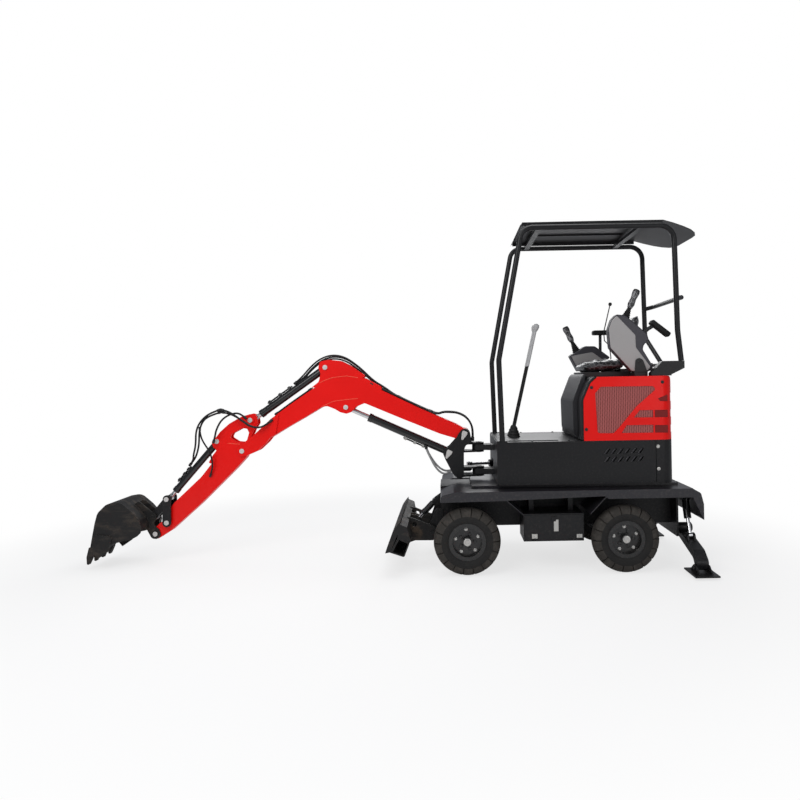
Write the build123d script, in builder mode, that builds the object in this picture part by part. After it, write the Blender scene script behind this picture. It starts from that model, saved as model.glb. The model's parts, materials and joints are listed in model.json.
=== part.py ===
"""A small wheeled excavator in millimetres: +X to the rear, -Y the near (left) side, +Z up, the ground at z = 0.

Everything is placed from the slew axis, at x = 0 while the pieces are made. At the end the whole machine is
moved along X, so that its origin lies on the ground under the middle of its overall box.
"""

import os
from math import acos, cos, degrees, hypot, radians, sin, tan

from build123d import *

os.makedirs("parts", exist_ok=True)

# Wheels
tyre_radius = 270
tyre_width = 150
tyre_blocks = 15
tyre_groove_width = 6
tyre_groove_depth = 36
rim_radius = 150
rim_width = 116
spindle_radius = 20
wheel_track_outer = 620
wheelbase = 1270
front_axle_x = -747
rear_axle_x = front_axle_x + wheelbase
kingpin_y = 405
kingpin_radius = 16

# Chassis
chassis_half_width = 205
chassis_bottom = 320
chassis_plate = 10
deck_top = 671
deck_plate = 8
deck_front_x = -850
deck_rear_x = 1054
fender_drop = 64
base_plate_half_width = 410
base_plate_top = 690
slew_ring_radius = 300
chassis_front_x = -960
chassis_rear_x = 1000

# Toolboxes under the middle of the deck
toolbox_front_x = -288
toolbox_length = 486
toolbox_bottom = 250
toolbox_height = 222
toolbox_depth = 190
toolbox_outer_y = 520
toolbox_wall = 4
strut_setback = 150

# Dozer blade
blade_half_width = 600
blade_pivot = (-1024, 273)
blade_arm_y = 232
blade_arm_thick = 24
tie_down = (-1184, 350)
tie_down_radius = 22
blade_cylinder_base = (-1016, 502)
blade_cylinder_tip = (-1160, 352)

# Outriggers
outrigger_x = 1080
outrigger_beam = 90
outrigger_pivot = (-285, 294)
outrigger_eye = (-450, 262)
outrigger_cylinder_top = (-330, 556)
outrigger_foot = (-705, 62)
outrigger_tube = 177

# Upper body
body_front_x = -490
body_rear_x = 954
body_half_width = 500
body_bottom = 700
body_top = 1052
body_wall = 6
floor_thickness = 8
corner_radius = 110
cowl_front_x = 217
cowl_top = 1571
seat_base_front_x = 43
seat_base_half_width = 455

# Canopy
tube_radius = 22
tube_wall = 4
roof_panel_bottom = 2806
post_y = 475
roof_top = 2818

# Swing post, boom, arm and bucket, with pins as (x, z)
swing_axis_x = -620
post_plate = 18
post_inner_y = 62
boom_foot = (-745, 1095)
boom_cylinder_base = (-881, 932)
boom_cylinder_tip = (-1782, 1342)
arm_cylinder_base = (-1952, 1695)
arm_cylinder_tip = (-2602, 1244)
arm_pivot = (-2687, 978)
bucket_cylinder_base = (-2912, 1064)
rocker_tip = (-3350, 570)
rocker_pivot = (-3353, 365)
bucket_link_pin = (-3479, 414)
bucket_pin = (-3458, 267)
boom_half_width = 55
arm_half_width = 45
bucket_half_width = 220
box_wall = 8
side_gap = 2
pin_gap = 0.1
smallest_round = 12

pieces = {}


def fitting(outline, radii):
    """The corner radii of a closed outline: kept to what the two sides have room for, and none where hardly seen."""
    kept = []
    for number, radius in enumerate(radii):
        if radius < smallest_round:
            kept.append(0)
            continue
        here = Vector(*outline[number])
        back = Vector(*outline[number - 1]) - here
        ahead = Vector(*outline[(number + 1) % len(outline)]) - here
        half_turn = radians(180 - back.get_angle(ahead)) / 2
        room = 0.48 * min(back.length, ahead.length)
        kept.append(min(radius, room / max(tan(half_turn), 1e-6)))
    return kept


def plate(outline, radii, y_low, y_high, mode=Mode.ADD):
    """Adds or cuts a plate with an outline in X and Z, between two values of y."""
    with BuildSketch(Plane.XZ.offset(-y_high)) as face:
        with BuildLine():
            FilletPolyline(*outline, radius=fitting(outline, radii), close=True)
        make_face()
    extrude(face.sketch, amount=y_high - y_low, mode=mode)


def bar(x, z, radius, y_low, y_high, mode=Mode.ADD):
    """Adds or cuts a round bar along Y."""
    with BuildSketch(Plane.XZ.offset(-y_high)) as disc:
        with Locations((x, z)):
            Circle(radius)
    extrude(disc.sketch, amount=y_high - y_low, mode=mode)


def block(x_low, x_high, y_low, y_high, z_low, z_high, mode=Mode.ADD):
    """Adds or cuts a plain block between its limits."""
    middle = ((x_low + x_high) / 2, (y_low + y_high) / 2, (z_low + z_high) / 2)
    with Locations(middle):
        Box(x_high - x_low, y_high - y_low, z_high - z_low, mode=mode)


def rod_between(start, end, radius, mode=Mode.ADD):
    """Adds or cuts a round bar from one point to another."""
    way = Vector(*end) - Vector(*start)
    with BuildSketch(Plane(origin=start, z_dir=way)) as disc:
        Circle(radius)
    extrude(disc.sketch, amount=way.length, mode=mode)


def bent_tube(points, bends, side_y, radius):
    """Adds a round tube that runs through (x, z) points at one y, its inner corners rounded to the bend radii."""
    places = [Vector(x, side_y, z) for x, z in points]
    start = places[0]
    for before, corner, after, bend in zip(places, places[1:], places[2:], bends):
        back = (before - corner).normalized()
        onward = (after - corner).normalized()
        half_angle = acos(back.dot(onward)) / 2
        first = corner + back * (bend / tan(half_angle))
        centre = corner + (back + onward).normalized() * (bend / sin(half_angle))
        rod_between(start, first, radius)
        with BuildSketch(Plane(origin=first, z_dir=back * -1)) as ring:
            Circle(radius)
        revolve(ring.sketch, axis=Axis(centre, (back * -1).cross(onward)), revolution_arc=180 - 2 * degrees(half_angle))
        start = corner + onward * (bend / tan(half_angle))
    rod_between(start, places[-1], radius)


def along(start, end, distance):
    """The point at a distance from start towards end, both as (x, z)."""
    length = hypot(end[0] - start[0], end[1] - start[1])
    share = distance / length
    return start[0] + (end[0] - start[0]) * share, start[1] + (end[1] - start[1]) * share


def capsule(start, end, radius_start, radius_end, y_low, y_high, mode=Mode.ADD):
    """Adds a link plate with two round ends, between two values of y."""
    with BuildSketch(Plane.XZ.offset(-y_high)) as face:
        with Locations(start):
            Circle(radius_start)
        with Locations(end):
            Circle(radius_end)
        make_hull()
    extrude(face.sketch, amount=y_high - y_low, mode=mode)


def barrel(base, tip, y, tube_radius_outer, tube_length, rod_radius, eye_radius, eye_half, pin_radius):
    """Adds a cylinder's tube in the X-Z plane at y, with the eye at its base and its bore open at the gland."""
    start = along(base, tip, eye_radius * 0.8)
    gland = along(base, tip, tube_length)
    rod_between((start[0], y, start[1]), (gland[0], y, gland[1]), tube_radius_outer)
    collar = along(base, tip, tube_length - 34)
    rod_between((collar[0], y, collar[1]), (gland[0], y, gland[1]), tube_radius_outer + 3)
    bar(base[0], base[1], eye_radius, y - eye_half, y + eye_half)
    bar(base[0], base[1], pin_radius + pin_gap, y - eye_half, y + eye_half, mode=Mode.SUBTRACT)
    depth = along(base, tip, eye_radius + 22)
    mouth = along(base, tip, tube_length + 1)
    rod_between((depth[0], y, depth[1]), (mouth[0], y, mouth[1]), rod_radius + pin_gap, mode=Mode.SUBTRACT)


def piston_rod(base, tip, y, inner_end, rod_radius, eye_radius, eye_half, pin_radius):
    """Adds a cylinder's chrome rod, with the eye at its tip."""
    start = along(base, tip, inner_end)
    neck = along(tip, base, eye_radius * 0.8)
    rod_between((start[0], y, start[1]), (neck[0], y, neck[1]), rod_radius)
    bar(tip[0], tip[1], eye_radius, y - eye_half, y + eye_half)
    bar(tip[0], tip[1], pin_radius + pin_gap, y - eye_half, y + eye_half, mode=Mode.SUBTRACT)


# Wheels: a solid tyre cut into blocks by grooves, on a dished steel rim, its outer face towards -Y
with BuildPart() as tyre:
    with BuildSketch(Plane.XY):
        half = tyre_width / 2
        with BuildLine():
            Polyline((rim_radius, -half), (tyre_radius, -half), (tyre_radius, half), (rim_radius, half), close=True)
        make_face()
    revolve(axis=Axis.Y)
    groove_middle = tyre_radius - tyre_groove_depth / 2 + 1
    groove_places = []
    for number in range(tyre_blocks):
        angle = number * 360 / tyre_blocks
        across, up = groove_middle * cos(radians(angle)), groove_middle * sin(radians(angle))
        groove_places.append(Location((across, 0, -up), (0, angle, 0)))
    with Locations(*groove_places):
        Box(tyre_groove_depth + 2, tyre_width + 2, tyre_groove_width, mode=Mode.SUBTRACT)

hub_radius = 38
hub_reach = 52
disc_radius = 118
drop_radius = 128
disc_face = 12
disc_back = 4
seat_radius = 60
seat_reach = 23.5
with BuildPart() as rim:
    with BuildSketch(Plane.XY):
        edge = rim_width / 2
        outer = rim_radius - 0.3
        with BuildLine():
            Polyline(
                (0, -hub_reach), (hub_radius, -hub_reach), (hub_radius, -disc_face), (disc_radius, -disc_face), (disc_radius, -edge),
                (outer, -edge), (outer, edge), (drop_radius, edge), (drop_radius, disc_back), (seat_radius, disc_back),
                (seat_radius, seat_reach), (0, seat_reach), close=True,
            )
        make_face()
    revolve(axis=Axis.Y)
    bar(0, 0, spindle_radius + pin_gap, -37, 60, mode=Mode.SUBTRACT)

wheel_middle_y = wheel_track_outer - tyre_width / 2
for end, axle_x in (("front", front_axle_x), ("rear", rear_axle_x)):
    for name, solid in (("tyre", tyre.part), ("rim", rim.part)):
        place = Location((axle_x, -wheel_middle_y, tyre_radius))
        pieces[f"{name}_{end}_left"] = solid.moved(place)
        pieces[f"{name}_{end}_right"] = solid.moved(place).mirror(Plane.XZ)

# Axles: a rigid rear axle with its middle casing, and a front beam that ends in two yokes
axle_end_y = wheel_middle_y - 24
housing_radius = 92
housing_half = 70
with BuildPart() as axles:
    for axle_x, end_y in ((front_axle_x, kingpin_y - 62), (rear_axle_x, axle_end_y - 40)):
        bar(axle_x, tyre_radius, 38, -end_y, end_y)
        bar(axle_x, tyre_radius, housing_radius, -housing_half, housing_half)
        block(axle_x - housing_radius, axle_x + housing_radius, -housing_half, housing_half, chassis_bottom,
              tyre_radius + housing_radius, mode=Mode.SUBTRACT)
    for side in (-1, 1):
        yoke = sorted((side * (kingpin_y - 62), side * (kingpin_y + 26)))
        for low in (tyre_radius - 74, tyre_radius + 50):
            block(front_axle_x - 30, front_axle_x + 30, *yoke, low, low + 24)
        inner = sorted((side * (kingpin_y - 62), side * (kingpin_y - 44)))
        block(front_axle_x - 30, front_axle_x + 30, *inner, tyre_radius - 74, tyre_radius + 74)
        drum = sorted((side * (axle_end_y - 40), side * axle_end_y))
        bar(rear_axle_x, tyre_radius, 84, *drum)
        spindle = sorted((side * axle_end_y, side * (axle_end_y + 60)))
        bar(rear_axle_x, tyre_radius, spindle_radius, *spindle)
        with Locations((front_axle_x, side * kingpin_y, tyre_radius)):
            Cylinder(kingpin_radius, 148)
    for axle_x in (front_axle_x, rear_axle_x):
        block(axle_x - 60, axle_x + 60, -chassis_half_width, chassis_half_width, tyre_radius + 30, chassis_bottom)
    steer_cylinder_x = front_axle_x + 118
    bar(steer_cylinder_x, tyre_radius + 14, 30, -150, 150)
    bar(steer_cylinder_x, tyre_radius + 14, 10 + pin_gap, -151, 151, mode=Mode.SUBTRACT)
    block(front_axle_x + 20, steer_cylinder_x - 20, -60, 60, tyre_radius + 4, tyre_radius + 24)
pieces["axles"] = axles.part

# Steering knuckles on the kingpins, with the spindle that carries the wheel and an arm to the rear
with BuildPart() as knuckle:
    with Locations((front_axle_x, -kingpin_y, tyre_radius)):
        Cylinder(34, 90)
    bar(front_axle_x, tyre_radius, 46, -axle_end_y, -kingpin_y)
    bar(front_axle_x, tyre_radius, spindle_radius, -axle_end_y - 60, -axle_end_y)
    block(front_axle_x, steer_cylinder_x + 14, -kingpin_y - 16, -kingpin_y + 16, tyre_radius + 20, tyre_radius + 42)
    with Locations((front_axle_x, -kingpin_y, tyre_radius)):
        Cylinder(kingpin_radius + pin_gap, 100, mode=Mode.SUBTRACT)
pieces["knuckle_left"] = knuckle.part
pieces["knuckle_right"] = knuckle.part.mirror(Plane.XZ)

with BuildPart() as steer_rod:
    rod_reach = kingpin_y - 24
    bar(steer_cylinder_x, tyre_radius + 14, 10, -rod_reach, rod_reach)
pieces["steer_rod"] = steer_rod.part

# Chassis: a closed box beam, the base plate and the slew ring's lower race
with BuildPart() as chassis_frame:
    beam_top = deck_top - deck_plate
    block(chassis_front_x, chassis_rear_x, -chassis_half_width, chassis_half_width, chassis_bottom, beam_top)
    inner_y = chassis_half_width - chassis_plate
    block(chassis_front_x + chassis_plate, chassis_rear_x - chassis_plate, -inner_y, inner_y,
          chassis_bottom + chassis_plate, beam_top - chassis_plate, mode=Mode.SUBTRACT)
    for side in (-1, 1):
        inner, outer = side * (blade_arm_y - 64), side * (blade_arm_y - 14)
        low, high = sorted((inner, outer))
        plate([(-940, 470), (-940, 330), (-1000, 228), (-1062, 228), (-1066, 310), (-1005, 470)],
              [2, 30, 30, 34, 34, 30], low, high)
        bar(*blade_pivot, 22, *sorted((side * (blade_arm_y - 30), side * (blade_arm_y + 30))))
    for side in (-1, 1):
        plate([(chassis_front_x + 2, 440), (-1016, 474), (-1044, 502), (-1016, 530), (chassis_front_x + 2, 570)], [2, 20, 26, 26, 2],
              *sorted((side * 33, side * 47)))
    bar(*blade_cylinder_base, 14, -50, 50)
    block(chassis_rear_x - 2, chassis_rear_x + 14, -365, 365, 235, 620)
with BuildPart() as slew_base:
    block(-700, chassis_rear_x, -base_plate_half_width, base_plate_half_width, deck_top, base_plate_top)
    with Locations((0, 0, base_plate_top + 2)):
        Cylinder(slew_ring_radius, 4)
pieces["slew_base"] = slew_base.part

# Fenders and decks: folded plates over the wheels, down between them, with a drop at the outer edge
with BuildPart() as fenders:
    deck_low = deck_top - deck_plate
    skirt = 6
    for side in (-1, 1):
        inner, outer = sorted((side * chassis_half_width, side * wheel_track_outer))
        plate([(deck_front_x, deck_top), (-950, 647), (-959, 592), (-953, 592), (-944, 642), (deck_front_x, deck_low)],
              [4, 20, 0.5, 0.5, 14, 2], inner, outer)
        block(deck_front_x, deck_rear_x, inner, outer, deck_low, deck_top)
        edge_low, edge_high = sorted((side * (wheel_track_outer - skirt), side * wheel_track_outer))
        plate([(deck_front_x, deck_top), (-950, 647), (-959, 592), (-435, 598), (-430, 600), (352, 622), (380, 600),
               (deck_rear_x, 600), (deck_rear_x, deck_top)],
              [4, 20, 0.5, 20, 0.5, 10, 10, 0.5, 0.5], edge_low, edge_high)
        for high_x, mid_x, low_x in ((-505, -435, -298), (430, 352, 238)):
            lean = 6 if high_x < low_x else -6
            plate([(high_x, deck_low + 2), (mid_x, 600), (low_x, 481), (low_x + lean, 483), (mid_x + lean, 603),
                   (high_x + 2 * lean, deck_low + 2)], [0.5, 20, 0.5, 0.5, 20, 0.5], inner, outer)
    plate([(deck_rear_x - 4, deck_top), (deck_rear_x - 4, 600), (deck_rear_x + 83, 419), (deck_rear_x + 83, 546),
           (1115, 634)], [0.5, 0.5, 1, 20, 30], -wheel_track_outer, wheel_track_outer)
    plate([(deck_rear_x - 30, deck_low), (deck_rear_x - 30, 560), (deck_rear_x + 60, 380), (deck_rear_x + 77, 400),
           (deck_rear_x + 77, 540), (1124, 622)], [0.5, 0.5, 1, 1, 16, 24],
          -wheel_track_outer + skirt, wheel_track_outer - skirt, mode=Mode.SUBTRACT)
pieces["fenders"] = fenders.part

# Toolboxes: open-topped inside, closed by a flap with two hinges at its lower edge
box_y = toolbox_outer_y
with BuildPart() as toolbox:
    x_low, x_high = toolbox_front_x, toolbox_front_x + toolbox_length
    z_low, z_high = toolbox_bottom, toolbox_bottom + toolbox_height
    y_in = chassis_half_width
    block(x_low, x_high, -box_y, -y_in, z_low, z_high)
    wall = toolbox_wall
    block(x_low + wall, x_high - wall, -box_y - 1, -y_in - wall, z_low + wall, z_high - wall, mode=Mode.SUBTRACT)
    frame = 22
    block(x_low + wall - 1, x_high - wall + 1, -box_y, -box_y + wall, z_low + wall - 1, z_high - wall + 1)
    block(x_low + frame, x_high - frame, -box_y - 1, -box_y + wall + 1, z_low + frame, z_high - frame, mode=Mode.SUBTRACT)
    for strut_x in (x_low + 60, x_high - 100):
        block(strut_x, strut_x + 40, -box_y + strut_setback, -y_in, z_high, deck_top - deck_plate)
pieces["toolbox_left"] = toolbox.part
pieces["toolbox_right"] = toolbox.part.mirror(Plane.XZ)
flap_hinge_z = z_low + 14
flap_hinge_y = -box_y - 8
with BuildPart() as flap:
    block(x_low + 12, x_high - 12, -box_y - 6, -box_y - 0.3, flap_hinge_z + 6, z_high - 10)
    middle_x = (x_low + x_high) / 2
    block(middle_x - 16, middle_x + 16, -box_y - 16, -box_y - 5, z_high - 60, z_high - 24)
    for hinge_x in (x_low + 90, x_high - 90):
        with BuildSketch(Plane.YZ.offset(hinge_x - 22)) as knuckle_face:
            with Locations((flap_hinge_y, flap_hinge_z)):
                Circle(6)
            with Locations((-box_y - 5, flap_hinge_z + 12)):
                Rectangle(9.4, 24)
        extrude(knuckle_face.sketch, amount=44)
pieces["toolbox_flap_left"] = flap.part
pieces["toolbox_flap_right"] = flap.part.mirror(Plane.XZ)

# Dozer blade: a low mouldboard on an open box beam, a rail along its top, and two arms with a tie-down hole
with BuildPart() as blade:
    plate([(-1283, 444), (-1335, 378), (-1379, 268), (-1405, 194), (-1364, 201), (-1320, 305), (-1276, 400)],
          [0, 200, 200, 0, 0, 200, 0], -blade_half_width, blade_half_width)
    plate([(-1290, 425), (-1226, 398), (-1203, 275), (-1305, 312)], [0, 0, 0, 0], -blade_half_width, blade_half_width)
    plate([(-1304, 314), (-1207, 272), (-1252, 160), (-1366, 199)], [0, 14, 14, 0], -blade_half_width, blade_half_width)
    plate([(-1292, 300), (-1220, 268), (-1258, 171), (-1345, 202)], [0, 0, 0, 0], -blade_half_width - 1, blade_half_width + 1,
          mode=Mode.SUBTRACT)
    for side in (-1, 1):
        arm_low, arm_high = sorted((side * (blade_arm_y - blade_arm_thick / 2 + 8), side * (blade_arm_y + blade_arm_thick / 2 + 8)))
        plate([(-1250, 412), (-1192, 401), (-1121, 370), (-1027, 338), (-986, 300), (-986, 240), (-1027, 212), (-1180, 214),
               (-1236, 196)], [0, 30, 30, 30, 30, 30, 30, 0, 0], arm_low, arm_high)
        bar(*blade_pivot, 22 + pin_gap, arm_low - 1, arm_high + 1, mode=Mode.SUBTRACT)
        bar(*tie_down, tie_down_radius, arm_low - 1, arm_high + 1, mode=Mode.SUBTRACT)
    for side in (-1, 1):
        plate([(-1262, 405), (-1232, 300), (-1150, 322), (-1134, 352), (-1160, 382)], [0, 0, 20, 26, 26],
              *sorted((side * 33, side * 47)))
        bar(*blade_cylinder_tip, 14, *sorted((side * 26, side * 50)))
pieces["blade"] = blade.part

with BuildPart() as blade_barrel:
    barrel(blade_cylinder_base, blade_cylinder_tip, 0, 27, 150, 14, 24, 30, 14)
pieces["blade_barrel"] = blade_barrel.part
with BuildPart() as blade_rod:
    piston_rod(blade_cylinder_base, blade_cylinder_tip, 0, 78, 14, 20, 22, 14)
pieces["blade_rod"] = blade_rod.part

# Outriggers: a leg on a big boss behind the chassis, with its foot pad and a cylinder under the rear deck
leg_x_low, leg_x_high = outrigger_x - outrigger_beam / 2, outrigger_x + outrigger_beam / 2


def cross_plate(outline, radii, x_low, x_high, mode=Mode.ADD):
    """Adds or cuts a plate with an outline in Y and Z, between two values of x."""
    with BuildSketch(Plane.YZ.offset(x_low)) as face:
        with BuildLine():
            FilletPolyline(*outline, radius=fitting(outline, radii), close=True)
        make_face()
    extrude(face.sketch, amount=x_high - x_low, mode=mode)


def cross_bar(y, z, radius, x_low, x_high, mode=Mode.ADD):
    """Adds or cuts a round bar along X."""
    with BuildSketch(Plane.YZ.offset(x_low)) as disc:
        with Locations((y, z)):
            Circle(radius)
    extrude(disc.sketch, amount=x_high - x_low, mode=mode)


with BuildPart() as outrigger_leg:
    cross_plate([(-275, 255), (-300, 222), (-640, 128), (-690, 60), (-730, 60), (-745, 118), (-650, 190), (-360, 262)],
                [10, 20, 60, 6, 6, 40, 60, 30], leg_x_low, leg_x_high)
    cross_bar(*outrigger_pivot, 42, outrigger_x - 60, outrigger_x + 60)
    for side in (-1, 1):
        low, high = sorted((outrigger_x + side * 20, outrigger_x + side * 34))
        cross_plate([(-400, 225), (-505, 200), (-480, 275), (-430, 288)], [4, 4, 26, 26], low, high)
        cross_bar(*outrigger_eye, 12, *sorted((outrigger_x + side * 17, outrigger_x + side * 40)))
    block(outrigger_x - 95, outrigger_x + 95, -840, -570, 20, 32)
    for side in (-1, 1):
        low, high = sorted((outrigger_x + side * 45, outrigger_x + side * 55))
        cross_plate([(-810, 32), (-600, 32), (-680, 88), (-735, 88)], [2, 2, 20, 20], low, high)
    cross_bar(*outrigger_foot, 14, outrigger_x - 64, outrigger_x + 64)
    cross_bar(*outrigger_pivot, 20 + pin_gap, outrigger_x - 61, outrigger_x + 61, mode=Mode.SUBTRACT)
pieces["outrigger_left"] = outrigger_leg.part
pieces["outrigger_right"] = outrigger_leg.part.mirror(Plane.XZ)


def upright(point, x=outrigger_x):
    """A point in the outriggers' plane, from its y and z."""
    return (x, point[0], point[1])


leg_top, leg_eye = outrigger_cylinder_top, outrigger_eye
with BuildPart() as outrigger_barrel:
    rod_between(upright(along(leg_top, leg_eye, 20)), upright(along(leg_top, leg_eye, outrigger_tube)), 30)
    cross_bar(*leg_top, 24, outrigger_x - 31, outrigger_x + 31)
    cross_bar(*leg_top, 14 + pin_gap, outrigger_x - 32, outrigger_x + 32, mode=Mode.SUBTRACT)
    rod_between(upright(along(leg_top, leg_eye, 44)), upright(along(leg_top, leg_eye, outrigger_tube + 1)), 14 + pin_gap,
                mode=Mode.SUBTRACT)
pieces["outrigger_barrel_left"] = outrigger_barrel.part
pieces["outrigger_barrel_right"] = outrigger_barrel.part.mirror(Plane.XZ)
with BuildPart() as outrigger_rod:
    leg_reach = hypot(leg_top[0] - leg_eye[0], leg_top[1] - leg_eye[1])
    rod_between(upright(along(leg_top, leg_eye, 152)), upright(along(leg_top, leg_eye, leg_reach - 14)), 14)
    cross_bar(*leg_eye, 20, outrigger_x - 16, outrigger_x + 16)
pieces["outrigger_rod_left"] = outrigger_rod.part
pieces["outrigger_rod_right"] = outrigger_rod.part.mirror(Plane.XZ)

with BuildPart(mode=Mode.PRIVATE) as outrigger_mounts:
    for side in (-1, 1):
        cross_bar(side * -outrigger_pivot[0], outrigger_pivot[1], 20, chassis_rear_x + 12, outrigger_x + 62)
        cross_bar(side * -outrigger_pivot[0], outrigger_pivot[1], 30, outrigger_x + 62, outrigger_x + 68)
        low, high = sorted((side * -300, side * -360))
        for face in (-1, 1):
            plate_low, plate_high = sorted((outrigger_x + face * 33, outrigger_x + face * 41))
            cross_bar(side * -leg_top[0], leg_top[1], 26, plate_low, plate_high)
        block(chassis_rear_x + 12, outrigger_x + 41, low, high, leg_top[1] + 26, leg_top[1] + 36)
        cross_bar(side * -leg_top[0], leg_top[1], 14, outrigger_x - 41, outrigger_x + 41)
        for face in (-1, 1):
            plate_low, plate_high = sorted((outrigger_x + face * 33, outrigger_x + face * 41))
            block(plate_low, plate_high, *sorted((side * -305, side * -355)), leg_top[1], leg_top[1] + 27)
pieces["chassis_frame"] = chassis_frame.part + outrigger_mounts.part

# Upper body: base plate with the upper race, two long plates, and the swing lugs at the front
lug_thick = 48
swing_pin = (-700, 150)
swing_base = (-90, 270)
swing_tube_length = 440
upper_lug_z = 973
lower_lug_z = 762
with BuildPart() as upper_frame:
    with BuildSketch(Plane.XY.offset(body_bottom)) as plan:
        with BuildLine():
            FilletPolyline(
                (body_front_x, -body_half_width), (body_rear_x, -body_half_width),
                (body_rear_x, body_half_width), (body_front_x, body_half_width),
                radius=[20, corner_radius, corner_radius, 20], close=True,
            )
        make_face()
    extrude(plan.sketch, amount=12)
    race_bottom = base_plate_top + 4.3
    with Locations((0, 0, (race_bottom + body_bottom) / 2)):
        Cylinder(slew_ring_radius - 8, body_bottom - race_bottom)
    for side in (-1, 1):
        low, high = sorted((side * 82, side * 94))
        block(body_front_x + 6, 280, low, high, body_bottom + 12, body_top - floor_thickness)
    for lug_z, reach in ((upper_lug_z, 58), (lower_lug_z, 58)):
        low = lug_z - lug_thick / 2
        with BuildSketch(Plane.XY.offset(low)) as lug:
            with Locations((swing_axis_x, 0)):
                Circle(reach)
            with Locations((body_front_x + 10, 0)):
                Rectangle(4, 180)
            make_hull()
        extrude(lug.sketch, amount=lug_thick)
        with Locations((swing_axis_x, 0, lug_z)):
            Cylinder(25 + pin_gap, lug_thick + 2, mode=Mode.SUBTRACT)
    block(body_front_x, body_front_x + 8, -94, 94, body_bottom + 12, body_top - floor_thickness)
    base_low, base_high = body_bottom + 6, lower_lug_z + 8
    with Locations((*swing_base, (base_low + base_high) / 2)):
        Cylinder(28, base_high - base_low)
    with Locations((*swing_base, base_high + 7.85)):
        Cylinder(20, 15.7)
    with Locations((*swing_base, base_high + 35)):
        Cylinder(15, 62)
pieces["upper_frame"] = upper_frame.part

with BuildPart() as side_panels:
    panel_rear = 797
    louvre_columns, louvre_pitch, louvre_row_gap = 6, 54, 66
    block(body_front_x, panel_rear, -body_half_width, body_half_width, body_bottom + 12, body_top - floor_thickness)
    block(body_front_x - 1, panel_rear + 1, -body_half_width + body_wall, body_half_width - body_wall, body_bottom + 11,
          body_top, mode=Mode.SUBTRACT)
    for side in (-1, 1):
        low, high = sorted((side * 94.3, side * (body_half_width - 1)))
        block(body_front_x, body_front_x + body_wall, low, high, body_bottom + 12, body_top - floor_thickness)
    block(body_front_x - 1, body_front_x + body_wall + 1, 84, 264, 760, 852, mode=Mode.SUBTRACT)
    for row in (0, 1):
        for column in range(louvre_columns):
            for side in (-1, 1):
                slot_x = 390 + column * louvre_pitch
                slot_z = 880 + row * louvre_row_gap
                low, high = sorted((side * (body_half_width - 8), side * (body_half_width + 1)))
                plate([(slot_x, slot_z), (slot_x + 12, slot_z), (slot_x + 42, slot_z + 40), (slot_x + 30, slot_z + 40)],
                      [0] * 4, low, high, mode=Mode.SUBTRACT)
pieces["side_panels"] = side_panels.part

with BuildPart() as counterweight:
    with BuildSketch(Plane.XY.offset(body_bottom + 12)) as plan:
        with BuildLine():
            FilletPolyline(
                (801, -body_half_width), (body_rear_x, -body_half_width),
                (body_rear_x, body_half_width), (801, body_half_width),
                radius=[1, corner_radius, corner_radius, 1], close=True,
            )
        make_face()
    extrude(plan.sketch, amount=body_top - floor_thickness - body_bottom - 12)
pieces["counterweight"] = counterweight.part

with BuildPart() as floor:
    with BuildSketch(Plane.XY.offset(body_top - floor_thickness)) as plan:
        with BuildLine():
            FilletPolyline(
                (body_front_x, -body_half_width), (body_rear_x, -body_half_width),
                (body_rear_x, body_half_width), (body_front_x, body_half_width),
                radius=[20, corner_radius, corner_radius, 20], close=True,
            )
        make_face()
    extrude(plan.sketch, amount=floor_thickness)
    block(320, 780, -270, 270, body_top - 20, body_top + 2, mode=Mode.SUBTRACT)
    block(body_front_x + 8, 20, -418, 418, body_top, body_top + 6)
pieces["floor"] = floor.part

# Red cowl over the engine, with its grille recess and slots in each side
cowl_outline = [(cowl_front_x, body_top), (cowl_front_x, 1384), (278, 1522), (336, cowl_top), (938, cowl_top), (body_rear_x + 14, 1410),
                (body_rear_x + 14, body_top)]
cowl_wall = 5
recess_depth = 3
open_slots = ([(673, 1294), (782, 1294), (782, 1234), (623, 1236)], [(565, 1174), (782, 1174), (782, 1110), (523, 1112)])
closed_slots = (
    [(821, 1388), (body_rear_x + 1, 1436), (body_rear_x + 1, 1363), (837, 1365)],
    [(794, 1294), (body_rear_x + 1, 1294), (body_rear_x + 1, 1234), (794, 1234)],
    [(794, 1172), (body_rear_x + 1, 1168), (body_rear_x + 1, 1108), (794, 1110)],
)
inner_outline = [(cowl_front_x - 1, body_top - 1), (cowl_front_x - 1, 1386), (281, 1518), (338, cowl_top - cowl_wall),
                 (934, cowl_top - cowl_wall), (body_rear_x + 10, 1410), (body_rear_x + 10, body_top - 1)]
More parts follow.
